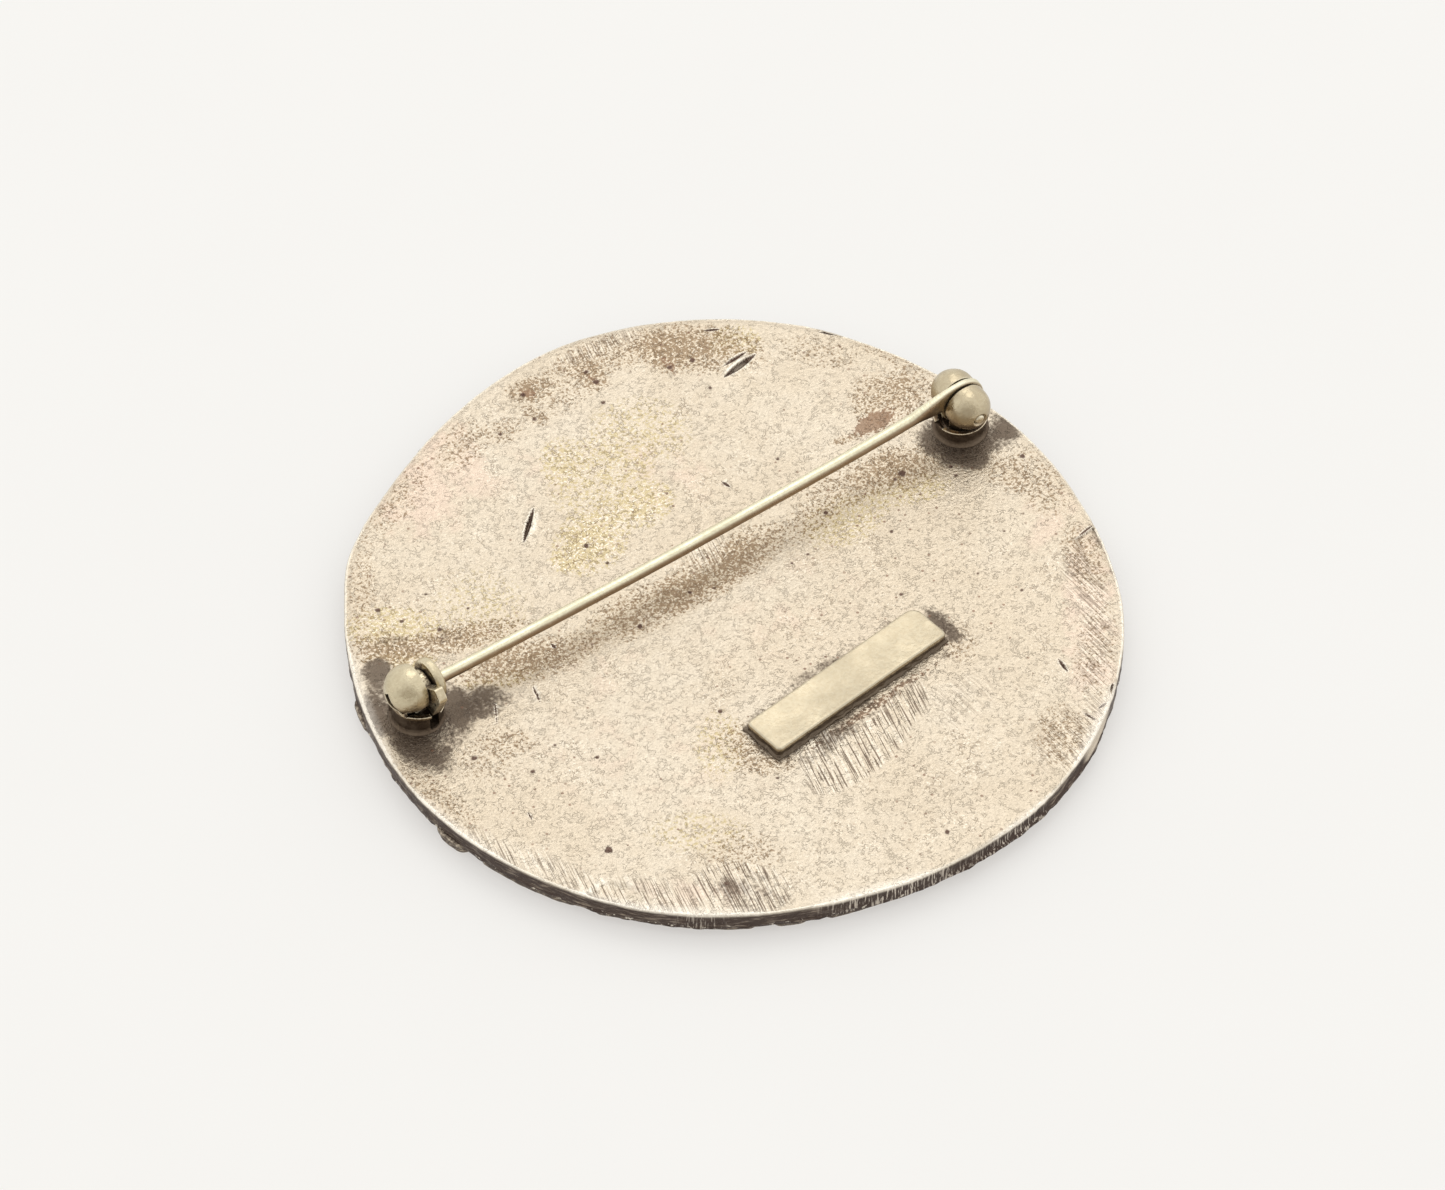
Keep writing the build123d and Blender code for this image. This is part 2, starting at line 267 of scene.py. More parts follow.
# Stains on the back, in the photograph's pixels: middle, half length, half width, turn and strength
Stain = namedtuple("Stain", "across down length width turn amount")
STAINS = {
    "dark": rows_of(
        Stain,
        (428, 716, 50, 44, 0, 1.0), (472, 703, 46, 20, -8, 1.0), (424, 752, 40, 22, 30, 0.9),
        (380, 672, 20, 18, 0, 0.8), (378, 712, 18, 30, 0, 0.85), (962, 438, 44, 30, 15, 1.0),
        (942, 448, 30, 16, 30, 0.75), (1005, 430, 22, 22, 40, 0.85), (968, 462, 30, 12, -8, 0.5),
        (745, 885, 52, 24, 12, 0.42), (941, 624, 26, 11, 48, 0.9), (952, 630, 24, 20, 50, 0.3),
        (1062, 540, 6, 4, 0, 0.3), (840, 730, 70, 14, -35, 0.55), (765, 745, 24, 12, 40, 0.6),
        (820, 670, 74, 9, -35, 0.5), (395, 640, 24, 9, -8, 0.34), (440, 640, 34, 10, -14, 0.3),
    ),
    "brown": rows_of(
        Stain,
        (700, 345, 75, 28, 4, 0.75), (668, 350, 30, 24, 0, 0.7), (592, 376, 20, 14, 30, 0.7),
        (526, 388, 26, 14, -10, 0.72), (610, 350, 66, 24, -12, 0.5), (560, 385, 60, 30, -30, 0.35),
        (500, 430, 26, 14, -10, 0.5), (460, 445, 34, 26, -45, 0.45), (536, 416, 14, 9, 30, 0.5),
        (525, 662, 80, 24, -14, 0.75), (640, 612, 76, 26, -25, 0.66), (705, 578, 60, 28, -32, 0.7),
        (748, 552, 44, 26, -36, 0.66), (800, 528, 50, 18, -25, 0.4), (450, 640, 90, 16, -13, 0.72),
        (385, 650, 40, 20, 0, 0.7), (850, 486, 72, 24, -26, 0.42), (902, 468, 56, 26, -14, 0.7),
        (885, 400, 40, 34, 10, 0.6), (915, 385, 30, 26, 30, 0.5), (850, 437, 24, 5, -20, 0.7),
        (890, 350, 40, 12, 22, 0.4), (1040, 480, 50, 30, 45, 0.4), (1085, 560, 22, 46, -20, 0.55),
        (1062, 735, 34, 36, 0, 0.5), (1095, 650, 26, 60, 8, 0.36), (748, 745, 34, 26, 10, 0.55),
        (770, 765, 40, 10, -8, 0.5), (740, 850, 50, 26, 0, 0.36), (440, 795, 60, 18, 38, 0.4),
        (362, 590, 16, 60, 0, 0.42), (395, 500, 24, 60, 36, 0.34), (510, 740, 34, 16, 0, 0.5),
        (485, 760, 40, 24, 10, 0.3), (955, 640, 30, 22, 40, 0.4), (820, 350, 50, 22, 12, 0.3),
        (1000, 470, 40, 20, 30, 0.4),
    ),
    "gold": rows_of(
        Stain,
        (590, 542, 44, 34, -30, 0.85), (645, 505, 34, 24, -24, 0.75), (600, 480, 60, 50, 0, 0.42),
        (566, 562, 18, 12, 0, 0.95), (560, 460, 26, 26, 0, 0.5), (640, 430, 60, 40, 0, 0.35),
        (392, 628, 56, 24, 0, 0.7), (400, 660, 40, 10, 0, 0.8), (845, 520, 50, 28, -20, 0.5),
        (500, 680, 50, 10, -12, 0.5), (700, 830, 60, 24, 0, 0.3), (480, 610, 60, 50, 0, 0.25),
        (720, 745, 30, 40, 0, 0.35), (735, 340, 30, 20, 0, 0.6), (910, 490, 50, 16, -10, 0.6),
    ),
    "pink": rows_of(
        Stain,
        (425, 480, 80, 66, -45, 0.8), (600, 660, 60, 40, 0, 0.3), (520, 470, 50, 50, 0, 0.35),
        (670, 470, 60, 50, 0, 0.4), (780, 610, 120, 60, -20, 0.3), (1050, 520, 40, 40, 0, 0.5),
        (640, 760, 160, 80, 0, 0.25), (700, 890, 100, 20, 0, 0.4), (1090, 620, 34, 110, 0, 0.7),
    ),
    "hatch": rows_of(
        Stain,
        (858, 752, 66, 26, -36, 1.0), (820, 752, 26, 30, 0, 0.8), (905, 705, 34, 22, -36, 0.55),
        (742, 884, 54, 27, 6, 1.0), (655, 892, 70, 22, 8, 0.42), (560, 868, 80, 16, 24, 0.36),
        (490, 840, 50, 12, 36, 0.3), (596, 345, 70, 12, -20, 0.35), (705, 552, 30, 24, -30, 0.4),
    ),
    "side_hatch": rows_of(
        Stain,
        (1085, 585, 22, 46, -22, 0.9), (1096, 650, 22, 70, 2, 0.8), (1062, 740, 34, 40, 30, 0.6),
        (1085, 740, 20, 50, 24, 0.7), (960, 700, 44, 24, -30, 0.45),
    ),
    "filed": rows_of(
        Stain,
        (900, 880, 90, 24, -16, 1.0), (1010, 826, 50, 24, -36, 1.0), (700, 912, 30, 10, 0, 0.5),
    ),
    "red": rows_of(
        Stain,
        (876, 421, 27, 12, -27, 1.0), (668, 362, 14, 4, 40, 0.7), (527, 392, 12, 5, 10, 0.7),
        (592, 378, 9, 4, 40, 0.7), (975, 440, 20, 14, 30, 0.5), (868, 709, 98, 6, -34, 0.62),
    ),
    "ridge": rows_of(
        Stain,
        (736, 362, 17, 3.0, -37, 1.0), (534, 523, 16, 1.8, -74, 0.8),
    ),
    "bare": rows_of(
        Stain,
        (1128, 600, 22, 84, 0, 0.75), (1100, 735, 22, 60, 24, 0.66), (1080, 500, 50, 30, 60, 1.0),
    ),
    # Where the rim's edge is rubbed bright and carries a painted highlight
    "bright_rim": rows_of(
        Stain,
        (1105, 735, 30, 60, 24, 1.0), (1020, 835, 90, 20, -40, 1.0), (880, 893, 90, 18, -15, 1.0),
        (640, 905, 150, 18, 4, 0.8), (460, 840, 110, 20, 38, 0.8), (1124, 600, 12, 90, 0, 0.15),
        (365, 700, 16, 80, -25, 0.6),
    ),
}


def linked(name, data):
    """A new object of the scene"""
    thing = bpy.data.objects.new(name, data)
    bpy.context.scene.collection.objects.link(thing)
    return thing


def mesh_of(name, bm):
    """A mesh with the shape in bm, which is then let go"""
    mesh = bpy.data.meshes.new(name)
    bm.to_mesh(mesh)
    bm.free()
    return mesh


def finished(bm, name, body, material):
    """The shape in bm, in millimetres, as a piece of the brooch that rides on a body"""
    bm.transform(Matrix.Scale(METRE, 4))
    mesh = mesh_of(name, bm)
    mesh.polygons.foreach_set("use_smooth", [True] * len(mesh.polygons))
    mesh.materials.append(material)
    piece = linked(name, mesh)
    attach(piece, body)
    return piece


def smooth_step(value, low, high):
    share = min(max((value - low) / (high - low), 0.0), 1.0)
    return share * share * (3 - 2 * share)


def within(value, rise, fall):
    """1 between a rise and a fall, each from one value to another, and 0 beyond them"""
    return smooth_step(value, *rise) * (1 - smooth_step(value, *fall))


def ripple(height, size, *place):
    """Soft unevenness of the metal at a place: waves of about a size, and up to about a height"""
    return height * noise.noise(Vector(place) / size)


def seen(x, y):
    """Where a point of the disc's back, in mm from its centre, lies in the photograph's pixels"""
    turn = radians(photo_azimuth)
    right = x * cos(turn) + y * sin(turn)
    away = y * cos(turn) - x * sin(turn)
    depth = sin(radians(photo_elevation))
    return photo_disc_across + photo_scale * right, photo_disc_down - photo_scale * depth * away


def on_plate(across, down):
    """The point of the disc's back, in mm from its centre, at a pixel of the photograph"""
    turn = radians(photo_azimuth)
    right = (across - photo_disc_across) / photo_scale
    away = (photo_disc_down - down) / (photo_scale * sin(radians(photo_elevation)))
    return right * cos(turn) - away * sin(turn), right * sin(turn) + away * cos(turn)


def from_middle(row, across, down):
    """How far a pixel is from a row's middle, along and across its turned ellipse: 1 at its edge"""
    turn = radians(row.turn)
    along = (across - row.across) * cos(turn) + (down - row.down) * sin(turn)
    aside = (down - row.down) * cos(turn) - (across - row.across) * sin(turn)
    return along / row.length, aside / row.width


def spread(start, end, count):
    """Even steps from start towards end, which isn't among them"""
    return [start + (end - start) * index / count for index in range(count)]


def mirrored(half):
    """An outline from its half above zero height, with the same below it"""
    return [(radius, -height) for radius, height in reversed(half)] + half


def turned(profile, steps, closed=False):
    """A body turned about Z from its outline, radius and height by row"""
    bm = bmesh.new()
    verts = [bm.verts.new((radius, 0, height)) for radius, height in profile]
    ends = verts[1:] + (verts[:1] if closed else [])
    edges = [bm.edges.new(pair) for pair in zip(verts, ends)]
    bmesh.ops.spin(
        bm, geom=verts + edges, cent=(0, 0, 0), axis=(0, 0, 1), angle=2 * pi, steps=steps, use_merge=True
    )
    bmesh.ops.remove_doubles(bm, verts=bm.verts, dist=merge_gap)
    bmesh.ops.recalc_face_normals(bm, faces=bm.faces)
    return bm


def rod(radius, start, end):
    """A plain rod along Z"""
    sides = 48
    return turned([(0, start), (radius, start), (radius, end), (0, end)], sides)


def laid(bm, axis, place):
    """Turns a body made along Z to lie along X or Y, and moves it to its place"""
    if axis == "X":
        bm.transform(Matrix.Rotation(pi / 2, 4, "Y"))
    if axis == "Y":
        bm.transform(Matrix.Rotation(-pi / 2, 4, "X"))
    bm.transform(Matrix.Translation(place))
    return bm


def block(low, high):
    """A box between two corners"""
    bm = bmesh.new()
    bmesh.ops.create_cube(bm, size=1)
    size = Vector(high) - Vector(low)
    bm.transform(Matrix.Translation((Vector(high) + Vector(low)) / 2) @ Matrix.Diagonal(size.to_4d()))
    return bm


def bevelled(bm, edges, offset, segments):
    """Rounds edges of a solid"""
    bmesh.ops.bevel(
        bm,
        geom=edges,
        offset=offset,
        offset_type="OFFSET",
        affect="EDGES",
        segments=segments,
        profile=0.5,
        material=-1,
    )


def with_tool(body, bm, operation):
    """Joins the solid in bm to a body, or cuts it away, once the body is evaluated"""
    joined = body.modifiers.new("joined", "BOOLEAN")
    joined.operation = operation
    joined.solver = "EXACT"
    joined.object = linked("tool", mesh_of("tool", bm))
    return joined.object


def evaluated(body, tools):
    """A body's shape with its modifiers. The body and its tools are then removed."""
    graph = bpy.context.evaluated_depsgraph_get()
    bm = bmesh.new()
    bm.from_mesh(bpy.data.meshes.new_from_object(body.evaluated_get(graph)))
    for thing in [body] + tools:
        bpy.data.objects.remove(thing)
    return bm


def cast(adds, cuts, grain, wear):
    """One body of metal: solids joined, others cut away, and every edge worn soft over even faces"""
    body = linked("cast", mesh_of("cast", adds[0]))
    steps = [(bm, "UNION") for bm in adds[1:]] + [(bm, "DIFFERENCE") for bm in cuts]
    tools = [with_tool(body, bm, operation) for bm, operation in steps]
    even = body.modifiers.new("even", "REMESH")
    even.mode = "VOXEL"
    even.voxel_size = grain
    worn = body.modifiers.new("worn", "SMOOTH")
    worn.factor = 0.5
    worn.iterations = wear
    return evaluated(body, tools)


def roughen(bm, *sizes):
    """Moves the surface in and out as cast and handled metal is, by the height and size of each noise"""
    for height, size in sizes:
        bm.normal_update()
        for vert in bm.verts:
            vert.co += vert.normal * ripple(height, size, *vert.co)
    return bm


# The disc


def rim_share(bearing):
    """The rim's distance from the centre, as a share of disc_radius: a smooth curve through RIM"""
    after = next((index for index, row in enumerate(RIM) if row.bearing > bearing), 0)
    rows = [RIM[(after + step) % len(RIM)] for step in (-2, -1, 0, 1)]
    gaps = [(b.bearing - a.bearing) % 360 for a, b in zip(rows, rows[1:])]
    t = ((bearing - rows[1].bearing) % 360) / gaps[1]
    start = (rows[2].share - rows[0].share) * gaps[1] / (gaps[0] + gaps[1])
    end = (rows[3].share - rows[1].share) * gaps[1] / (gaps[1] + gaps[2])
    return (
        rows[1].share * (2 * t**3 - 3 * t**2 + 1)
        + start * (t**3 - 2 * t**2 + t)
        + rows[2].share * (3 * t**2 - 2 * t**3)
        + end * (t**3 - t**2)
    )


def disc_profile():
    """Share of the radius and height, from the middle of the back round the rim to the front"""
    inner_rings = 78
    outer_rings = 22
    wall_rows = 9
    under_rings = 14
    shares = spread(0, flat_share, inner_rings) + spread(flat_share, 1, outer_rings) + [1]
    bevel = [back_face - step * rim_bevel for step in (0.25, 0.6)]
    wall = spread(back_face - rim_bevel, relief_height, wall_rows) + [relief_height]
    rows = [(share, back_face) for share in shares] + [(1, height) for height in bevel + wall]
    return rows + [(share, relief_height) for share in spread(1, 0, under_rings)[1:] + [0]]


def rim_inset(share, height):
    """How far the outline lies inside the rim, in mm: the filed bevel, then a wall that leans in"""
    depth = back_face - height
    wall_top_lean = 0.02
    wall_lean = 0.06
    if depth < 0.001:
        return rim_bevel * max(0.0, share - flat_share) / (1 - flat_share)
    if depth < rim_bevel:
        return rim_bevel * (1 - depth / rim_bevel) ** 1.5
    return wall_top_lean + wall_lean * (depth - rim_bevel) / (plate_thickness - rim_bevel)


def marks(across, down):
    """Height at pixels of the photograph of the gouges, with the metal beside them, and of the pits"""
    height = np.zeros(len(across))
    burr_place = 1.3
    burr_width = 0.5
    burr_height = 0.22
    for row in GOUGES:
        along, aside = from_middle(row, across, down)
        taper = np.clip(1 - along**2, 0.05, 1)
        bottom = np.clip(1 - (aside / taper) ** 2, 0, 1)
        burr = np.exp(-(((np.abs(aside) - burr_place * taper) / burr_width) ** 2))
        height += (np.abs(along) < 1) * row.depth * taper * (burr_height * burr - bottom)
    pit_depth = 0.009
    pit_unevenness = 0.35
    pit_reach = 1.4
    for row in PITS:
        far = np.hypot(across - row.across, (down - row.down) / sin(radians(photo_elevation)))
        for index in np.nonzero(far < pit_reach * row.size)[0]:
            ragged = row.size * (1 + ripple(pit_unevenness, 2.5, across[index], down[index], row.size))
            height[index] -= pit_depth * row.size * max(0.0, 1 - (far[index] / ragged) ** 2)
    return height


def back_height(x, y, share):
    """Height of the back over its plain face without the marks, in mm"""
    swell = ripple(0.055, 8.0, x, y, 3.0) + ripple(0.016, 2.2, x, y, 8.0) + ripple(0.004, 0.45, x, y, 5.0)
    rolled = rim_roll * smooth_step(share, *rim_roll_shares) ** 2
    step_x, step_y = on_plate(*photo_filed_step)
    filed = within(step_y - y + 0.15 * (x - step_x), *filed_step_fade)
    return swell - rolled - filed_step * filed * smooth_step(share, *filed_step_shares)


def rim_wear(bearing, height):
    """Roughness of the wall, outwards in mm: file marks, cast layers and the lip of the front's edge"""
    arc = radians(bearing) * disc_radius
    low = smooth_step(back_face - rim_bevel - height, 0.0, plate_thickness - rim_bevel)
    filed = ripple(0.03, 1.0, arc / 0.55, 2.0, height / 2.5)
    layers = ripple(0.10, 1.0, arc / 0.7, 7.0, height / 0.35)
    broad = ripple(0.07, 1.0, arc / 3.5, 4.0, 0.0)
    lip = cast_lip * exp(-(((height - relief_height - cast_lip_rise) / cast_lip_width) ** 2))
    lip_here = within(bearing, *cast_lip_bearings)
    return filed + low * layers + broad + lip_here * (lip - cast_lip_hollow)


def refine(bm):
    """Smaller faces round every gouge and pit, so that they have real edges"""
    spots = list(PITS)
    gouge_step = 6
    for row in GOUGES:
        turn = radians(row.turn)
        pieces = max(1, round(2 * row.length / gouge_step))
        for index in range(pieces + 1):
            along = row.length * (2 * index / pieces - 1)
            spots.append((row.across + along * cos(turn), row.down + along * sin(turn), row.width))
    tree = kdtree.KDTree(len(bm.edges))
    bm.edges.ensure_lookup_table()
    for index, edge in enumerate(bm.edges):
        tree.insert((edge.verts[0].co + edge.verts[1].co) / 2, index)
    tree.balance()
    margin = 0.22
    chosen = set()
    for across, down, size in spots:
        x, y = on_plate(across, down)
        found = tree.find_range((x + plate_x, y + plate_y, back_face), size / photo_scale + margin)
        chosen.update(index for place, index, far in found)
    edges = [bm.edges[index] for index in sorted(chosen)]
    bmesh.ops.subdivide_edges(bm, edges=edges, cuts=3, use_grid_fill=True)


def paint(mesh, name, values):
    mesh.attributes.new(name, "FLOAT", "POINT").data.foreach_set("value", np.asarray(values, np.float32))


def stain_at(rows, across, down):
    """Strength of a stain at pixels of the photograph, from 0 to 1: overlapping patches add up"""
    clear = np.ones(len(across))
    for row in rows:
        along, aside = from_middle(row, across, down)
        clear *= 1 - row.amount * np.clip(1 - along**2 - aside**2, 0, 1) ** 0.7
    return 1 - clear


def make_disc_plate(material):
    near = 0.01
    rim_line = 0.9975
    wall_line = 0.999
    corner = back_face - rim_corner
    bm = turned([(disc_radius * share, height) for share, height in disc_profile()], disc_steps)
    share_layer = bm.verts.layers.float.new("share")
    wall_layer = bm.verts.layers.float.new("wall")
    rim_layer = bm.verts.layers.float.new("rim")
    for vert in bm.verts:
        radius = hypot(vert.co.x, vert.co.y)
        bearing = degrees(atan2(vert.co.y, vert.co.x)) % 360
        share = radius / disc_radius
        vert[share_layer] = share
        vert[wall_layer] = smooth_step(corner - vert.co.z, 0.0, 0.1)
        vert[rim_layer] = float(share > rim_line and vert.co.z > corner)
        reach = radius * rim_share(bearing) - rim_inset(share, vert.co.z)
        if share > wall_line:
            reach += rim_wear(bearing, vert.co.z)
        elif share > flat_share:
            reach += rim_wear(bearing, back_face) * (share - flat_share) / (1 - flat_share)
        vert.co.x = plate_x + reach * cos(radians(bearing))
        vert.co.y = plate_y + reach * sin(radians(bearing))
    refine(bm)
    places = np.array([vert.co for vert in bm.verts])
    across, down = seen(places[:, 0] - plate_x, places[:, 1] - plate_y)
    on_back = places[:, 2] > back_face - near
    depths = marks(across, down) * on_back
    for vert, depth in zip(bm.verts, depths):
        if vert.co.z > back_face - near:
            vert.co.z += depth + back_height(vert.co.x - plate_x, vert.co.y - plate_y, vert[share_layer])
        elif vert.co.z < relief_height + near:
            vert.co.z += ripple(0.04, 1.3, *vert.co)
    piece = finished(bm, "disc_plate", "brooch", material)
    for name, stains in STAINS.items():
        everywhere = name in ("filed", "bare", "bright_rim")
        paint(piece.data, name, stain_at(stains, across, down) * (on_back | everywhere))
    dark_from_start = np.clip(-60 * depths, 0, 1)
    light_when_deep = np.clip(1.6 + 5 * depths, 0.3, 1)
    paint(piece.data, "pit", dark_from_start * light_when_deep)
    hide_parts("disc")
    return piece


def lobe_profile(rise):
    """Share of the lobe's half width and height, from the middle of its face round to its seat"""
    return [
        (0.0, 0.12), (0.30, 0.13), (0.42, 0.18), (0.48, 0.33), (0.54, 0.34), (0.60, 0.10), (0.66, 0.01),
        (0.72, 0.0), (0.78, 0.05), (0.83, 0.2), (0.86, 0.34), (0.83, 0.42), (0.87, 0.5), (0.95, 0.6),
        (1.0, 0.76), (0.99, rise - 0.05), (0.9, rise), (0.0, rise),
    ]


def straight_lobe(run):
    """A lobe along Y, round at both ends of its run"""
    half = lobe_width / 2
    bm = turned([(half * share, height) for share, height in lobe_profile(relief_height + lobe_seat)], 36)
    for vert in bm.verts:
        vert.co.y += run / 2 * ((vert.co.y > 1e-4) - (vert.co.y < -1e-4))
    long_edges = [edge for edge in bm.edges if edge.calc_length() > 0.3 * run]
    cuts = max(2, round(run / lobe_step))
    bmesh.ops.subdivide_edges(bm, edges=long_edges, cuts=cuts, use_grid_fill=True)
    return bm


def make_border(material):
    """The ring of long and short lobes, each with a raised edge round a pad"""
    radius = disc_radius - border_inset
    step = lobe_width + lobe_gap
    pair_run = long_lobe_run + short_lobe_run + 2 * step
    pairs = round(2 * pi * radius / pair_run)
    long_run = long_lobe_run + 2 * pi * radius / pairs - pair_run
    lobes = []
    for index in range(pairs):
        start = first_lobe_bearing + index * 360 / pairs + degrees(step / radius) / 2
        short_start = start + degrees((long_run + step) / radius)
        lobes.append((index, start, long_run, radius))
        lobes.append((index, short_start, short_lobe_run, radius + short_lobe_overhang))
    whole = bmesh.new()
    for index, start, run, ring in lobes:
        bm = straight_lobe(run)
        for vert in bm.verts:
            wobble = ripple(0.06, 0.8, vert.co.x, vert.co.y, index * 7.0 + run)
            angle = radians(start) + (vert.co.y + run / 2) / ring
            around = degrees(angle) % 360
            tuck = within(around, *border_tuck_bearings) * (ring - radius + border_tuck)
            tuck += within(around, *left_tuck_bearings) * left_tuck
            reach = ring + vert.co.x * (1 + wobble) - tuck
            vert.co.x = ring_x + reach * cos(angle)
            vert.co.y = ring_y + reach * sin(angle)
        mesh = mesh_of("lobe", bm)
        whole.from_mesh(mesh)
        bpy.data.meshes.remove(mesh)
    bmesh.ops.recalc_face_normals(whole, faces=whole.faces)
    roughen(whole, (0.02, 0.5))
    for vert in whole.verts:
        vert.co.z = max(vert.co.z, 0.0)
    return finished(whole, "border_lobes", "brooch", material)


def make_rest_ring(material):
    """The ring's outline runs from its inner seat over its softened foot to its outer seat"""
    radius = disc_radius - rest_ring_inset
    half = rest_ring_width / 2
    foot = half - rest_ring_rounding
    side = [(half, relief_height + 0.1), (half, 0.18), (foot + 0.18, 0.05), (foot, 0.0)]
    outline = [(radius - reach, height) for reach, height in side]
    outline += [(radius + reach, height) for reach, height in reversed(side)]
    bm = laid(turned(outline, 240, closed=True), "Z", (ring_x, ring_y, 0))
    return finished(bm, "rest_ring", "brooch", material)


# Fittings


def tablet_block(margin, low, high):
    """A block under or in the tablet, wider than it by a margin on every side"""
    reach = tablet_length / 2 + margin
    side = tablet_width / 2 + margin
    return block((-reach, -side, low), (reach, side, high))


def make_tablet(material):
    body = tablet_block(0, -tablet_seat, tablet_thickness)
    upright = [edge for edge in body.edges if edge.verts[0].co.z * edge.verts[1].co.z < 0]
    worn = [edge for edge in upright if edge.verts[0].co.x > 0 and edge.verts[0].co.y > 0]
    sharp = [edge for edge in upright if edge not in worn]
    bevelled(body, worn, tablet_worn_corner, 6)
    bevelled(body, sharp, tablet_corner, 6)
    top = [edge for edge in body.edges if min(vert.co.z for vert in edge.verts) > tablet_thickness - 0.01]
    bevelled(body, top, tablet_bevel, 3)
    solder = tablet_block(tablet_solder, -tablet_seat - 0.05, 0.1)
    bm = cast([body, solder], [], tablet_grain, 3)
    bm.normal_update()
    for vert in bm.verts:
        side = max(abs(vert.co.x) - tablet_length / 2, abs(vert.co.y) - tablet_width / 2)
        if vert.co.z < 0.3 and side > -0.05:
            lump = ripple(0.16, 0.55, *vert.co) + ripple(0.10, 1.6, *vert.co)
            vert.co += Vector((vert.normal.x, vert.normal.y, 0.4 * vert.normal.z)) * lump
        else:
            vert.co += vert.normal * ripple(0.012, 0.6, *vert.co)
            if vert.co.z > tablet_thickness - 0.05:
                crown = 1 - (2 * vert.co.y / tablet_width) ** 2
                vert.co.z -= 0.05 * crown * (1 - (2 * vert.co.x / tablet_length) ** 8)
    place = Matrix.Translation((plate_x + tablet_place[0], plate_y + tablet_place[1], back_face))
    bm.transform(place @ Matrix.Rotation(radians(tablet_turn), 4, "Z"))
    return finished(bm, "blank_tablet", "brooch", material)


def collar(x, rise=0.0):
    """A round collar soldered to the back, with a thin lip round its hollow top that can rise towards -X"""
    cup_radius = collar_radius - cup_wall
    cup_floor = collar_height - cup_depth
    lip_start = collar_height - lip_height
    solder = [(0.3, -collar_seat), (0.24, 0.02), (0.1, 0.12), (0.01, 0.3)]
    profile = [(0, -collar_seat)] + [(collar_radius + reach, height) for reach, height in solder]
    profile += [(collar_radius, lip_start), (lip_radius, lip_start + 0.14), (lip_radius, collar_height)]
    profile += [(cup_radius, collar_height), (cup_radius - 0.05, cup_floor), (0, cup_floor)]
    bm = turned(profile, 64)
    for vert in bm.verts:
        if vert.co.z > lip_start - 0.01:
            vert.co.z += rise * (0.5 - 0.5 * vert.co.x / lip_radius)
    return laid(bm, "Z", (x, pin_y, back_face))


def cast_fitting(adds, cuts):
    """One of the two soldered fittings, with the skin of its casting"""
    return roughen(cast(adds, cuts, fitting_grain, 4), (0.02, 0.7), (0.006, 0.16))


def make_hinge(material):
    """Collar, neck and the two ball ears that the rivet goes through"""
    reach = ear_spacing / 2
    turns = [radians(turn) for turn in range(0, 91, 6)]
    quarter = [(ear_radius * cos(turn), reach + ear_radius * sin(turn)) for turn in turns]
    ears = laid(turned(mirrored(quarter), 64), "Y", hinge)
    neck = laid(rod(neck_radius, -neck_seat, hinge.z - back_face), "Z", (hinge.x, pin_y, back_face))
    wide = 4.0
    slot = block(
        (hinge.x - wide, pin_y - slot_half_width, hinge.z - eye_radius - eye_gap),
        (hinge.x + wide, pin_y + slot_half_width, hinge.z + wide),
    )
    hole_end = ear_radius + reach - rivet_depth
    sunk = rivet_radius + countersink
    half_hole = [(rivet_radius + rivet_fit, hole_end), (sunk, hole_end), (sunk, wide), (0, wide)]
    hole = laid(turned(mirrored(half_hole), 48), "Y", hinge)
    bm = cast_fitting([collar(hinge.x), neck, ears], [slot, hole])
    return finished(bm, "hinge_ears", "brooch", material)


def catch_ring(start, place_z):
    """The ring beyond the rotor, a disc with softened edges"""
    small = 0.3 * ring_rounding
    edge = [(ring_radius - ring_rounding, 0), (ring_radius - small, small), (ring_radius, ring_rounding)]
    far_edge = [(radius, ring_length - height) for radius, height in reversed(edge)]
    return laid(turned([(0, 0)] + edge + far_edge + [(0, ring_length)], 64), "X", (start, pin_y, place_z))


def catch_dome(place, end_x):
    """The catch's ball, cut flat and closed where the rotor's slit begins"""
    dome = bmesh.new()
    bmesh.ops.create_uvsphere(dome, u_segments=64, v_segments=32, radius=dome_radius)
    dome.transform(Matrix.Translation(place))
    cut = bmesh.ops.bisect_plane(
        dome,
        geom=dome.verts[:] + dome.edges[:] + dome.faces[:],
        plane_co=(end_x, 0, 0),
        plane_no=(1, 0, 0),
        clear_outer=True,
    )
    rim = [item for item in cut["geom_cut"] if isinstance(item, bmesh.types.BMEdge)]
    bmesh.ops.contextual_create(dome, geom=rim)
    return dome


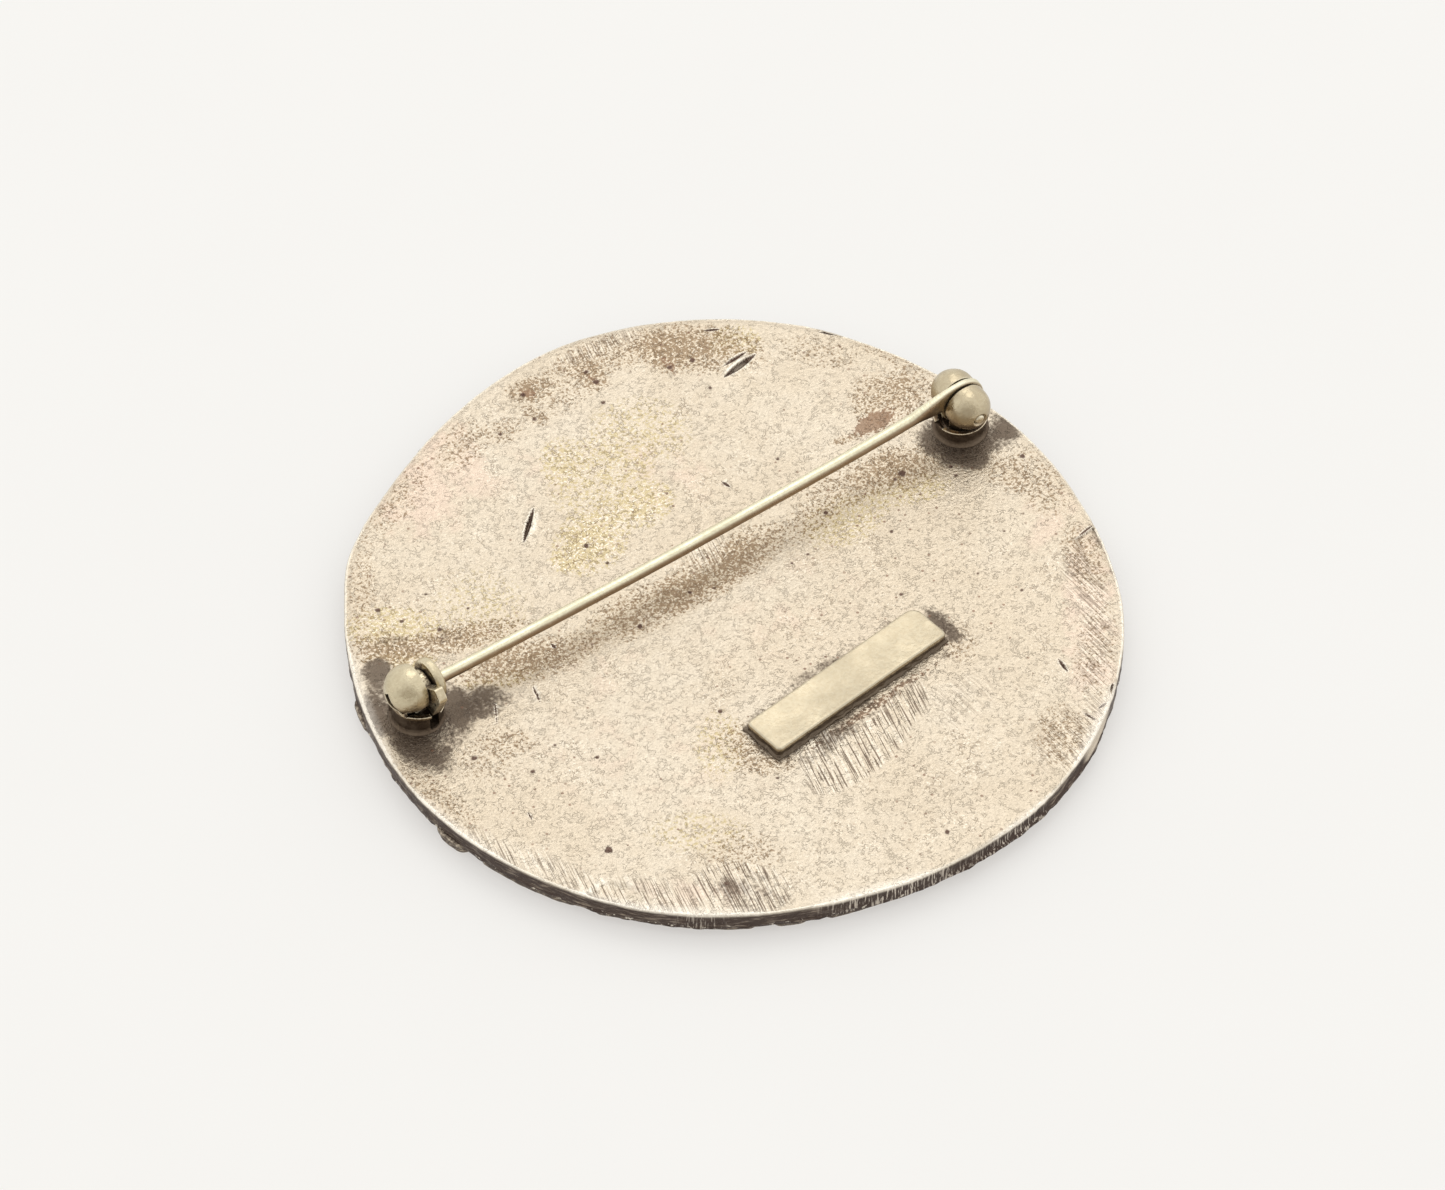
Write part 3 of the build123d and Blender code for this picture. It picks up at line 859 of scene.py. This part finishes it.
def make_catch(material):
    """Collar, post, ball and ring of the safety catch, open towards the mouth's side

    A sliver keeps faces of two solids out of one plane, where the cut would be left to chance."""
    pin_z = rotor_axis.z
    dome_z = pin_z + dome_lift
    ring_z = pin_z + ring_lift
    slit_start = rotor_axis.x - slit_half_width
    slit_end = rotor_axis.x + slit_half_width
    wide = 5.0
    sliver = 0.004
    post = block(
        (slit_start - neck_radius, pin_y + post_gap - sliver, back_face),
        (slit_end + ring_length - sliver, pin_y + post_gap + post_depth, ring_z),
    )
    mouth = block(
        (dome_x - mouth_run, pin_y - wide, pin_z - mouth_height),
        (slit_start + 0.2, pin_y + post_gap, pin_z + sliver),
    )
    tip_slot = block((-wide, tip_slot_side[0], -tip_slot_width), (-0.2, tip_slot_side[1], 0))
    tip_slot.transform(Matrix.Rotation(radians(tip_slot_tilt), 4, "X"))
    tip_slot.transform(Matrix.Translation((dome_x, pin_y, dome_z + tip_slot_lift)))
    ring_mouth = block(
        (slit_start + 0.1, pin_y - wide, back_face + collar_height),
        (slit_end + wide, pin_y + post_gap + sliver, pin_z - 0.01),
    )
    bore = laid(rod(hub_bore, 0, wide), "X", (slit_start - dome_hub_length - 0.1, pin_y, pin_z))
    tip_bore = laid(rod(pin_bore, 0, wide), "X", (dome_x - dome_radius / 2 - 0.1, pin_y, pin_z))
    slit_low = block(
        (slit_start - sliver, pin_y - wide, back_face + 0.1),
        (slit_end + sliver, pin_y, pin_z + 2 * sliver),
    )
    slit_high = block(
        (slit_start - 2 * sliver, pin_y - wide - 1, pin_z),
        (slit_end + 2 * sliver, pin_y + wide, pin_z + wide),
    )
    slit_rod = rod(rotor_radius + rotor_rim_gap, -3 * sliver, 2 * slit_half_width + 3 * sliver)
    slit_round = laid(slit_rod, "X", (slit_start, pin_y, pin_z))
    dome = catch_dome((dome_x, pin_y, dome_z), slit_start)
    bm = cast_fitting(
        [collar(catch_x, catch_lip_rise), post, dome, catch_ring(slit_end, ring_z)],
        [mouth, tip_slot, ring_mouth, bore, tip_bore, slit_low, slit_high, slit_round],
    )
    return finished(bm, "catch_housing", "brooch", material)


def make_rivet(material):
    half = ear_spacing / 2 + ear_radius
    head = [(0, half - 0.03), (0.2, half - 0.04), (rivet_radius - 0.03, half - 0.1)]
    head.append((rivet_radius, half - rivet_depth))
    foot = [(radius, -height) for radius, height in reversed(head)]
    outline = head + [(rivet_radius, 0)] + foot
    bm = roughen(laid(turned(outline, 48), "Y", hinge), (0.015, 0.2))
    piece = finished(bm, "rivet", "brooch", material)
    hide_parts("hinge_rivet")
    return piece


def pin_section(x, tip_x):
    """Half width, half height, middle height and squareness of the pin at x"""
    from_catch = max(0.0, x - catch_x)
    along = from_catch / (hinge.x - catch_x)
    stem_z = rotor_axis.z + stem_rise * from_catch - 4 * stem_bow * along * (1 - along)
    flat_start = hinge.x - flat_length
    if x < flat_start:
        radius = min(wire_radius, tip_radius + (wire_radius - tip_radius) * (x - tip_x) / tip_length)
        return radius, radius, stem_z, round_power
    share = smooth_step(x, flat_start, hinge.x - flat_end_run)
    width = wire_radius + (eye_half_width - wire_radius) * share
    circle = sqrt(max(0.0, eye_radius**2 - (x - hinge.x) ** 2))
    top = hinge.z + circle
    bottom = hinge.z - circle
    if x < hinge.x:
        climb = min(1.0, (x - flat_start) / (hinge.x - flat_top_run - flat_start))
        line = stem_z + wire_radius + (hinge.z + eye_radius - stem_z - wire_radius) * climb
        top = min(max(line, top if circle > 0 else line), hinge.z + eye_radius)
        sag = stem_z - wire_radius - blade_depth * share
        bottom = min(sag, bottom) if circle > 0 else sag
    power = round_power + (flat_power - round_power) * share
    return width, (top - bottom) / 2, (top + bottom) / 2, power


def make_pin(material):
    """The round stem, hammered flat towards the eye that turns on the rivet"""
    low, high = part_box("pin_stem")
    tip_x = low.x / METRE
    stem_x = tip_x + tip_length
    flat_start = hinge.x - flat_length
    end_x = high.x / METRE - 0.02
    stations = spread(tip_x, stem_x, 12) + spread(stem_x, flat_start, 90) + spread(flat_start, end_x, 70)
    stations.append(end_x)
    profile = [(0, stations[0])] + [(1, x) for x in stations] + [(0, stations[-1])]
    bm = turned(profile, 40)
    for vert in bm.verts:
        x = vert.co.z
        width, height, middle, power = pin_section(x, tip_x)
        side, up = vert.co.x, vert.co.y
        size = hypot(side, up)
        if size > 0.5:
            side, up = (copysign(abs(part / size) ** (2 / power), part) for part in (side, up))
        sway = ripple(stem_sway, 1.0, x / 9.0, 0.5, 0.0)
        vert.co = Vector((x, pin_y + width * side + sway * (x < flat_start), middle + height * up))
    bmesh.ops.recalc_face_normals(bm, faces=bm.faces)
    roughen(bm, (0.012, 0.8))
    body = linked("pin_body", mesh_of("pin_body", bm))
    rivet_hole = laid(rod(rivet_radius + eye_fit, -2, 2), "Y", hinge)
    bm = evaluated(body, [with_tool(body, rivet_hole, "DIFFERENCE")])
    bm.normal_update()
    blade_start = flat_start + 1.0
    # Painted shade on the pin's side that faces -Y, weaker on the flat blade
    painted_side_shade = []
    for vert in bm.verts:
        blade = smooth_step(vert.co.x, blade_start, blade_start + 1.2)
        painted_side_shade.append(smooth_step(-vert.normal.y, 0.6, 0.85) * (1 - 0.3 * blade))
    piece = finished(bm, "pin", "pin", material)
    paint(piece.data, "painted_side_shade", painted_side_shade)
    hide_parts("pin_stem")
    return piece


# The lever's outline: the angle about the pin and the reach beyond the sleeve, as a share of lever_reach
LeverCorner = namedtuple("LeverCorner", "angle reach")
LEVER = rows_of(
    LeverCorner,
    (-38, -0.13), (-28, 0.48), (13, 0.75), (25, 1.00), (43, 0.94), (52, -0.13),
)


def make_rotor(material):
    """The catch's turning sleeve with its lever"""
    start = rotor_axis.x - rotor_thickness / 2
    middle = Vector((start, pin_y, rotor_axis.z))
    sunk = 0.01
    lever = bmesh.new()
    corners = []
    for corner in LEVER:
        reach = rotor_radius + corner.reach * lever_reach
        angle = radians(corner.angle)
        corners.append(lever.verts.new(middle + Vector((sunk, -reach * cos(angle), reach * sin(angle)))))
    grown = bmesh.ops.extrude_face_region(lever, geom=[lever.faces.new(corners)])["geom"]
    moved = [item for item in grown if isinstance(item, bmesh.types.BMVert)]
    bmesh.ops.translate(lever, verts=moved, vec=(rotor_thickness - 2 * sunk, 0, 0))
    bmesh.ops.recalc_face_normals(lever, faces=lever.faces)
    ridges = [edge for edge in lever.edges if abs(edge.verts[0].co.x - edge.verts[1].co.x) > 0.1]
    bevelled(lever, ridges, lever_rounding, 4)
    sleeve = laid(rod(rotor_radius, 0, rotor_thickness), "X", middle)
    hub_place = (start - dome_hub_length, pin_y, rotor_axis.z)
    hub_length = dome_hub_length + rotor_thickness + ring_hub_length
    hub = laid(rod(hub_radius, 0, hub_length), "X", hub_place)
    bore = laid(rod(pin_bore, -1, hub_length + 1), "X", hub_place)
    gap_half = wire_radius + rotor_gap_play
    gap = block((-1, -2 * rotor_radius, -gap_half), (hub_length + 1.2, 0, gap_half))
    gap.transform(Matrix.Rotation(radians(rotor_gap_turn), 4, "X"))
    gap.transform(Matrix.Translation(hub_place))
    bm = roughen(cast([sleeve, lever, hub], [bore, gap], rotor_grain, 3), (0.012, 0.4))
    piece = finished(bm, "rotor", "rotor", material)
    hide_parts("catch_rotor")
    return piece


# Finishes


class Finish:
    """A material built from short calls, one for each node"""

    def __init__(self, name):
        self.material = bpy.data.materials.new(name)
        self.material.use_nodes = True
        self.nodes = self.material.node_tree.nodes
        self.links = self.material.node_tree.links
        self.shader = self.nodes["Principled BSDF"]
        place = self.add("ShaderNodeTexCoord").outputs["Object"]
        scale = (1 / METRE, 1 / METRE, 1 / METRE)
        self.mm = self.add("ShaderNodeMapping", Vector=place, Scale=scale).outputs["Vector"]

    def put(self, socket, value):
        if isinstance(value, bpy.types.NodeSocket):
            self.links.new(value, socket)
        elif socket.type == "RGBA":
            socket.default_value = (*value, 1)
        else:
            socket.default_value = value

    def add(self, kind, settings=None, **inputs):
        node = self.nodes.new(kind)
        for name, value in (settings or {}).items():
            setattr(node, name, value)
        for name, value in inputs.items():
            self.put(node.inputs[name.replace("_", " ")], value)
        return node

    def math(self, operation, *values):
        node = self.add("ShaderNodeMath", {"operation": operation})
        for socket, value in zip(node.inputs, values):
            self.put(socket, value)
        return node.outputs[0]

    def times(self, a, b):
        return self.math("MULTIPLY", a, b)

    def sum(self, a, share, b):
        """A share of one value added to another"""
        return self.math("MULTIPLY_ADD", a, share, b)

    def most(self, a, b):
        return self.math("MAXIMUM", a, b)

    def without(self, a, b):
        """A value where another isn't"""
        return self.times(a, self.math("SUBTRACT", 1.0, b))

    def height(self):
        """Height over the floor, in mm"""
        return self.add("ShaderNodeSeparateXYZ", Vector=self.mm).outputs["Z"]

    def stretched(self, scale, turn=0.0):
        turns = (0, 0, radians(turn))
        node = self.add(
            "ShaderNodeMapping", {"vector_type": "TEXTURE"}, Vector=self.mm, Rotation=turns, Scale=scale
        )
        return node.outputs["Vector"]

    def noise(self, scale, detail=3.0, roughness=0.55, vector=None):
        place = vector or self.mm
        node = self.add("ShaderNodeTexNoise", Vector=place, Scale=scale, Detail=detail, Roughness=roughness)
        return node.outputs[0]

    def cells(self, scale):
        return self.add("ShaderNodeTexVoronoi", Vector=self.mm, Scale=scale).outputs["Distance"]

    def lines(self, scale, width):
        """Fine wandering lines, where a noise crosses its middle"""
        off_middle = self.math("ABSOLUTE", self.math("SUBTRACT", self.noise(scale, 1.0), 0.5))
        return self.band(off_middle, 0.0, width, 1.0, 0.0)

    def ragged(self, stain, texture, low, high, spread):
        """A painted stain whose edge a texture breaks up: nothing where there is no stain"""
        broken = self.sum(self.math("SUBTRACT", texture, 0.5), spread, stain)
        return self.times(self.band(broken, low, high), self.band(stain, 0.0, 0.25))

    def attribute(self, name):
        return self.add("ShaderNodeAttribute", {"attribute_name": name}).outputs["Fac"]

    def band(self, value, low, high, start=0.0, end=1.0):
        """A value that runs softly from start to end while another goes from low to high"""
        soft = {"interpolation_type": "SMOOTHSTEP"}
        ends = {"From_Min": low, "From_Max": high, "To_Min": start, "To_Max": end}
        return self.add("ShaderNodeMapRange", soft, Value=value, **ends).outputs["Result"]

    def mix(self, share, a, b):
        node = self.add("ShaderNodeMix", {"data_type": "RGBA"})
        for index, value in ((0, share), (6, a), (7, b)):
            self.put(node.inputs[index], value)
        return node.outputs[2]

    def coats(self, colour, *coats):
        """A colour with others laid over it in turn: where each lies, how strongly, and its tint"""
        for share, strength, tint in coats:
            colour = self.mix(self.times(share, strength), colour, tint)
        return colour

    def bump(self, height, distance, strength=1.0):
        node = self.add("ShaderNodeBump", Height=height, Distance=distance * METRE, Strength=strength)
        return node.outputs["Normal"]

    def done(self, colour, roughness, normal, metallic=1.0):
        self.put(self.shader.inputs["Base Color"], colour)
        self.put(self.shader.inputs["Roughness"], roughness)
        self.put(self.shader.inputs["Normal"], normal)
        self.put(self.shader.inputs["Metallic"], metallic)
        return self.material


def hatching(f):
    """Where a file left dark strokes on the back, and the bright metal between them, partly a painted
    highlight
    """
    strokes = f.noise(1.0, 1.0, 0.6, f.stretched((0.10, 3.2, 1.0), -13))
    side_strokes = f.noise(1.0, 1.0, 0.6, f.stretched((0.10, 2.4, 1.0), 4))
    here = f.attribute("hatch")
    side = f.attribute("side_hatch")
    dark = f.times(f.band(here, 0.1, 0.5), f.band(strokes, 0.57, 0.61))
    dark = f.most(dark, f.times(side, f.band(side_strokes, 0.54, 0.62, 0.0, 0.7)))
    # Bright metal beside the strokes, with painted highlights
    bright = f.times(f.band(here, 0.0, 0.4), f.band(strokes, 0.44, 0.40))
    bright = f.most(bright, f.times(side, f.band(side_strokes, 0.46, 0.40)))
    return dark, bright


def wall_look(f, files):
    """The rim's wall: dark cast layers, streaks where it is filed, and metal worn bare"""
    filed = f.attribute("filed")
    layers = f.noise(1.0, 3.0, 0.65, f.stretched((1.2, 1.2, 0.14)))
    marks = f.band(f.mix(filed, layers, files), 0.48, 0.76)
    specks = f.times(f.band(f.height(), 1.16, 1.0), f.band(f.noise(1.7, 3.0, 0.7), 0.57, 0.62))
    bare = f.times(f.attribute("bare"), f.band(f.height(), 0.9, 1.35, 0.3, 1.0))
    return f.coats(
        f.mix(marks, (0.085, 0.062, 0.052), (0.40, 0.33, 0.26)),
        (f.times(filed, f.band(files, 0.54, 0.61)), 0.7, (0.78, 0.71, 0.62)),
        (specks, 0.8, (0.86, 0.79, 0.68)),
        (f.band(bare, 0.45, 0.6), 1.0, (0.68, 0.60, 0.49)),
    )


def rim_look(f, grain, files):
    """Where the rim's edge is rubbed bright and carries a painted highlight: the ridge itself, and the
    metal just inside it
    """
    bright_rim = f.attribute("bright_rim")
    inside = f.times(f.band(f.attribute("share"), 0.968, 0.998, 0.0, 0.5), bright_rim)
    teeth = f.mix(f.attribute("filed"), (1, 1, 1), f.band(files, 0.46, 0.54))
    ridge = f.times(f.times(f.attribute("rim"), f.band(bright_rim, 0.0, 0.5, 0.2, 1.0)), teeth)
    return f.ragged(ridge, grain, 0.25, 0.75, 0.8), f.without(inside, f.attribute("wall"))


def back_silver():
    """Warm worn silver with tarnish, gold and pink tints, pits and file marks; painted shade in crevices,
    painted highlights along the rim and painted glints
    """
    f = Finish("worn_back_silver")
    broad = f.band(f.noise(0.11, 2.0), 0.36, 0.64)
    patchy = f.band(f.noise(0.55, 3.0, 0.6), 0.34, 0.66)
    clouds = f.band(f.noise(0.35, 4.0, 0.6), 0.4, 0.65)
    grain_height = f.noise(4.2, 2.0, 0.65)
    grain = f.band(grain_height, 0.34, 0.66)
    fine_height = f.noise(7.5, 1.0, 0.6)
    fine = f.band(fine_height, 0.34, 0.66)
    # Painted glints: bright specks in the busy, speckled places
    lights = f.band(fine_height, 0.42, 0.34)
    worms = f.times(f.lines(3.4, 0.055), f.band(f.noise(2.1, 1.0), 0.50, 0.57))
    dots = f.times(f.band(f.cells(1.15), 0.09, 0.14, 1.0, 0.0), broad)
    spots = f.most(f.band(f.cells(0.55), 0.03, 0.06, 1.0, 0.0), dots)
    share = f.attribute("share")
    brown_paint = f.attribute("brown")
    gold_paint = f.attribute("gold")
    busy = f.most(f.band(f.noise(0.3, 3.0), 0.50, 0.68, 0.03, 0.4), f.most(brown_paint, gold_paint))
    busy = f.times(busy, f.band(share, 0.955, 0.975, 1.0, 0.35))
    pink = f.ragged(f.attribute("pink"), patchy, 0.2, 0.9, 0.5)
    gold = f.ragged(gold_paint, grain, 0.3, 0.8, 1.1)
    brown = f.ragged(brown_paint, f.sum(grain, 0.5, f.times(fine, 0.5)), 0.45, 0.82, 1.4)
    red = f.ragged(f.attribute("red"), grain, 0.35, 0.5, 0.5)
    # Dark stains, joined by darkening where the brooch hides the sky: tarnish and painted shade round the
    # fittings and under the pin
    dark_paint = f.most(f.attribute("dark"), f.times(f.attribute("crevice_tarnish_and_shade"), 1.2))
    dark_edge = f.sum(patchy, 0.6, f.times(grain, 0.4))
    dark = f.ragged(dark_paint, dark_edge, 0.12, 0.85, 0.75)
    pit = f.attribute("pit")
    shiny = f.without(f.most(f.times(f.attribute("edge"), 0.8), f.attribute("ridge")), pit)
    hatch, bright = hatching(f)
    wall = f.attribute("wall")
    files = f.noise(1.0, 2.0, 0.6, f.stretched((0.13, 0.13, 1.6)))
    front = f.times(f.band(f.height(), 0.92, 0.86), f.band(share, 0.99, 0.975))
    rim, beside_rim = rim_look(f, grain, files)
    colour = f.coats(
        f.mix(broad, (0.648, 0.57, 0.458), (0.62, 0.535, 0.418)),
        (patchy, 0.35, (0.575, 0.487, 0.37)),
        (pink, 0.6, (0.71, 0.56, 0.46)),
        (gold, 0.68, (0.56, 0.46, 0.23)),
        (fine, f.sum(busy, 0.2, 0.07), (0.44, 0.345, 0.235)),
        (lights, f.times(busy, 0.9), (0.97, 0.90, 0.77)),
        (worms, f.times(busy, 0.8), (0.31, 0.20, 0.12)),
        (f.band(brown_paint, 0.0, 1.0), 0.36, (0.40, 0.30, 0.185)),
        (brown, 0.76, (0.25, 0.165, 0.095)),
        (red, 0.85, (0.27, 0.17, 0.11)),
        (dark, 0.96, f.mix(dark_edge, (0.085, 0.06, 0.046), (0.195, 0.153, 0.115))),
        (spots, 0.75, (0.22, 0.13, 0.09)),
        (pit, 0.95, (0.11, 0.065, 0.05)),
        (shiny, 1.0, (0.95, 0.89, 0.77)),
        (bright, 0.32, (0.95, 0.89, 0.78)),
        (hatch, 0.88, (0.19, 0.14, 0.105)),
        (wall, 1.0, wall_look(f, files)),
        (front, 1.0, f.mix(clouds, (0.50, 0.435, 0.345), (0.31, 0.26, 0.20))),
        # Rubbed bright metal with a painted highlight on the rim's edge and just inside it
        (beside_rim, 1.0, (0.90, 0.85, 0.77)),
        (rim, 0.8, (0.90, 0.84, 0.74)),
    )
    rough = f.sum(wall, 0.10, f.sum(dark, 0.12, f.band(grain_height, 0.3, 0.7, 0.33, 0.46)))
    height = f.sum(fine_height, 0.7, grain_height)
    height = f.sum(hatch, -0.5, f.sum(worms, -0.5, height))
    return f.done(colour, rough, f.bump(height, 0.05))


def fitting_silver(name, tint, darkened_low=below_all, shade=below_all, patches=1.1, hollows=1.5):
    """Smoother, yellower silver of the findings: darker low down, tarnish and painted shade in hollows,
    bright on worn edges

    A darkening low down and a brown painted shade each fade between two heights over the floor, in mm."""
    f = Finish(name)
    patchy = f.band(f.noise(patches, 3.0, 0.6), 0.30, 0.70)
    grain_height = f.noise(4.5, 2.0, 0.6)
    grain = f.band(grain_height, 0.36, 0.64)
    # Painted shade: brown on the lower parts by height, and on the pin's side that faces the dark room
    brown = f.most(f.band(f.height(), *shade, 0.7, 0.0), f.attribute("painted_side_shade"))
    # Darker below a given height: the collar walls and the tablet's sides
    low = f.band(f.height(), *darkened_low, 1.0, 0.0)
    # Darker where the brooch hides the sky: tarnish and painted shade in hollows, and darker low down
    hidden = f.most(f.times(f.attribute("crevice_tarnish_and_shade"), hollows), low)
    dark = f.ragged(hidden, f.sum(grain, 0.6, f.times(patchy, 0.4)), 0.40, 0.92, 0.5)
    colour = f.coats(
        f.mix(patchy, tint, [0.88 * value for value in tint]),
        (grain, 0.2, (0.36, 0.27, 0.16)),
        (brown, 1.0, (0.33, 0.235, 0.15)),
        (dark, 0.93, f.mix(patchy, (0.075, 0.052, 0.038), (0.16, 0.122, 0.09))),
        (f.without(f.attribute("edge"), low), 0.75, (0.90, 0.83, 0.66)),
    )
    rough = f.sum(dark, 0.2, f.band(patchy, 0.0, 1.0, 0.24, 0.38))
    return f.done(colour, rough, f.bump(f.sum(patchy, 0.1, grain_height), 0.03, 0.8))


def border_silver():
    """Painted shade over all of the raised cast border, with rubbed bright edges"""
    f = Finish("cast_border_silver")
    grain = f.noise(3.4, 3.0, 0.65)
    shine = f.most(f.times(f.attribute("edge"), 0.5), f.band(f.height(), 0.08, 0.0))
    # Painted shade: the whole border dark, mottled by grain
    colour = f.coats(
        f.mix(f.band(grain, 0.4, 0.7), (0.11, 0.085, 0.068), (0.30, 0.245, 0.19)),
        (f.ragged(shine, grain, 0.3, 0.8, 0.8), 1.0, (0.68, 0.60, 0.48)),
    )
    return f.done(colour, 0.45, f.bump(grain, 0.05, 0.9))


def light_table():
    """Pale acrylic, lit a little from below, so that shadows on it stay light"""
    f = Finish("light_table")
    fibre = f.noise(0.05, 2.0, 0.5)
    colour = f.mix(f.band(fibre, 0.3, 0.7), (0.345, 0.352, 0.345), (0.350, 0.357, 0.350))
    f.put(f.shader.inputs["Emission Color"], table_glow_colour)
    f.put(f.shader.inputs["Emission Strength"], table_glow)
    return f.done(colour, 0.7, f.bump(fibre, 0.01, 0.2), 0.0)


def convexity(vert):
    """How sharply the surface turns away on every side of a vertex, from 0 to 1"""
    if not vert.link_edges:
        return 0.0
    gain = 7
    least = 0.25
    sides = [vert.co - edge.other_vert(vert).co for edge in vert.link_edges]
    lean = sum(side.normalized().dot(vert.normal) for side in sides)
    return min(1.0, max(0.0, gain * lean / len(sides) - least))


def sky_rays(count):
    """Directions spread evenly over the sky above a surface that faces along Z"""
    golden = pi * (3 - sqrt(5))
    rays = []
    for index in range(count):
        height = 1 - (index + 0.5) / count * 0.92
        flat = sqrt(1 - height * height)
        rays.append(Vector((flat * cos(golden * index), flat * sin(golden * index), height)))
    return rays


def paint_wear_and_shade(pieces):
    """Paints on each piece its worn edges, and how much of the sky above a point the brooch itself hides,
    which the finishes darken as tarnish and painted shade
    """
    whole = bmesh.new()
    for piece in pieces:
        whole.from_mesh(piece.data)
    tree = bvhtree.BVHTree.FromBMesh(whole)
    whole.free()
    rays = sky_rays(12)
    lift = 0.012 * METRE
    reach = 2.6 * METRE
    for piece in pieces:
        mesh = piece.data
        worn = bmesh.new()
        worn.from_mesh(mesh)
        paint(mesh, "edge", [convexity(vert) for vert in worn.verts])
        worn.free()
        # Share of sky rays that meet the brooch: where the finishes lay tarnish and painted shade
        values = []
        for vert in mesh.vertices:
            turn = Vector((0, 0, 1)).rotation_difference(vert.normal)
            start = vert.co + vert.normal * lift
            hidden = 0.0
            for ray in rays:
                found, normal, index, far = tree.ray_cast(start, turn @ ray, reach)
                if found is not None:
                    hidden += 1 - 0.6 * far / reach
            values.append(min(1.0, hidden / len(rays)))
        paint(mesh, "crevice_tarnish_and_shade", values)


# The scene


def make_floor():
    """A pale flat table, far wider than the picture"""
    bm = bmesh.new()
    bmesh.ops.create_grid(bm, x_segments=1, y_segments=1, size=floor_half)
    mesh = mesh_of("floor", bm)
    mesh.materials.append(light_table())
    floor = linked("floor", mesh)


def towards_camera(tilt):
    """The direction from the brooch to the camera's side, at a tilt over the floor"""
    turn = radians(photo_azimuth)
    return Vector((sin(turn) * cos(tilt), -cos(turn) * cos(tilt), sin(tilt)))


def make_camera():
    x, y = on_plate(photo_width / 2, photo_height / 2)
    target = Vector((plate_x + x, plate_y + y, back_face)) * METRE
    back = towards_camera(radians(photo_elevation))
    data = bpy.data.cameras.new("camera")
    data.lens = camera_lens
    data.sensor_width = camera_sensor
    data.clip_start = nearest_seen
    camera = linked("camera", data)
    distance = camera_lens / camera_sensor * photo_width / photo_scale
    camera.location = target + back * distance * METRE
    camera.rotation_euler = (-back).to_track_quat("-Z", "Y").to_euler()
    bpy.context.scene.camera = camera


def make_lamp():
    """A broad round lamp over the brooch's back"""
    data = bpy.data.lights.new("lamp", "AREA")
    data.shape = "DISK"
    data.size = lamp_size
    data.energy = lamp_power
    data.color = lamp_colour
    lamp = linked("lamp", data)
    lamp.location = lamp_place
    lamp.rotation_euler = Vector(lamp_place).to_track_quat("Z", "Y").to_euler()


def make_tent():
    """White walls all round, and the darker room behind the camera"""
    world = bpy.data.worlds.new("studio")
    bpy.context.scene.world = world
    world.use_nodes = True
    nodes = world.node_tree.nodes
    links = world.node_tree.links
    place = nodes.new("ShaderNodeTexCoord")
    towards = nodes.new("ShaderNodeVectorMath")
    towards.operation = "DOT_PRODUCT"
    towards.inputs[1].default_value = towards_camera(radians(room_tilt))
    ramp = nodes.new("ShaderNodeValToRGB")
    links.new(place.outputs["Generated"], towards.inputs[0])
    links.new(towards.outputs["Value"], ramp.inputs["Fac"])
    links.new(ramp.outputs["Color"], nodes["Background"].inputs["Color"])
    white, dim = ramp.color_ramp.elements
    white.position = tent_end
    white.color = tent_white
    dim.position = room_start
    dim.color = room_dim
    nodes["Background"].inputs["Strength"].default_value = tent_strength
    bpy.context.scene.view_settings.view_transform = "Standard"


make_camera()
make_tent()
make_lamp()
make_floor()
collar_top = back_face + collar_height
# Heights below which the fittings are painted darker
collar_darkened_low = (collar_top - 0.08, collar_top)
ball_shade = (collar_top + 0.4, collar_top + 2.4)
rotor_shade = (collar_top - 0.1, collar_top + 1.4)
tablet_darkened_low = (back_face + 0.4, back_face + 0.7)
findings = fitting_silver("worn_fitting_silver", (0.66, 0.58, 0.405), collar_darkened_low, ball_shade)
hinge_silver = fitting_silver("hinge_silver", (0.57, 0.49, 0.34), collar_darkened_low, ball_shade)
pin_silver = fitting_silver("pin_silver", (0.84, 0.79, 0.58), patches=0.3, hollows=0.9)
rotor_silver = fitting_silver("rotor_silver", (0.70, 0.61, 0.43), shade=rotor_shade)
tablet_silver = fitting_silver("tablet_silver", (0.545, 0.475, 0.345), tablet_darkened_low, patches=0.25)
border = border_silver()
pieces = [
    make_disc_plate(back_silver()),
    make_border(border),
    make_rest_ring(border),
    make_tablet(tablet_silver),
    make_hinge(hinge_silver),
    make_catch(findings),
    make_rivet(findings),
    make_pin(pin_silver),
    make_rotor(rotor_silver),
]
# Worn edges, and tarnish with painted shade where the brooch hides the sky
paint_wear_and_shade(pieces)
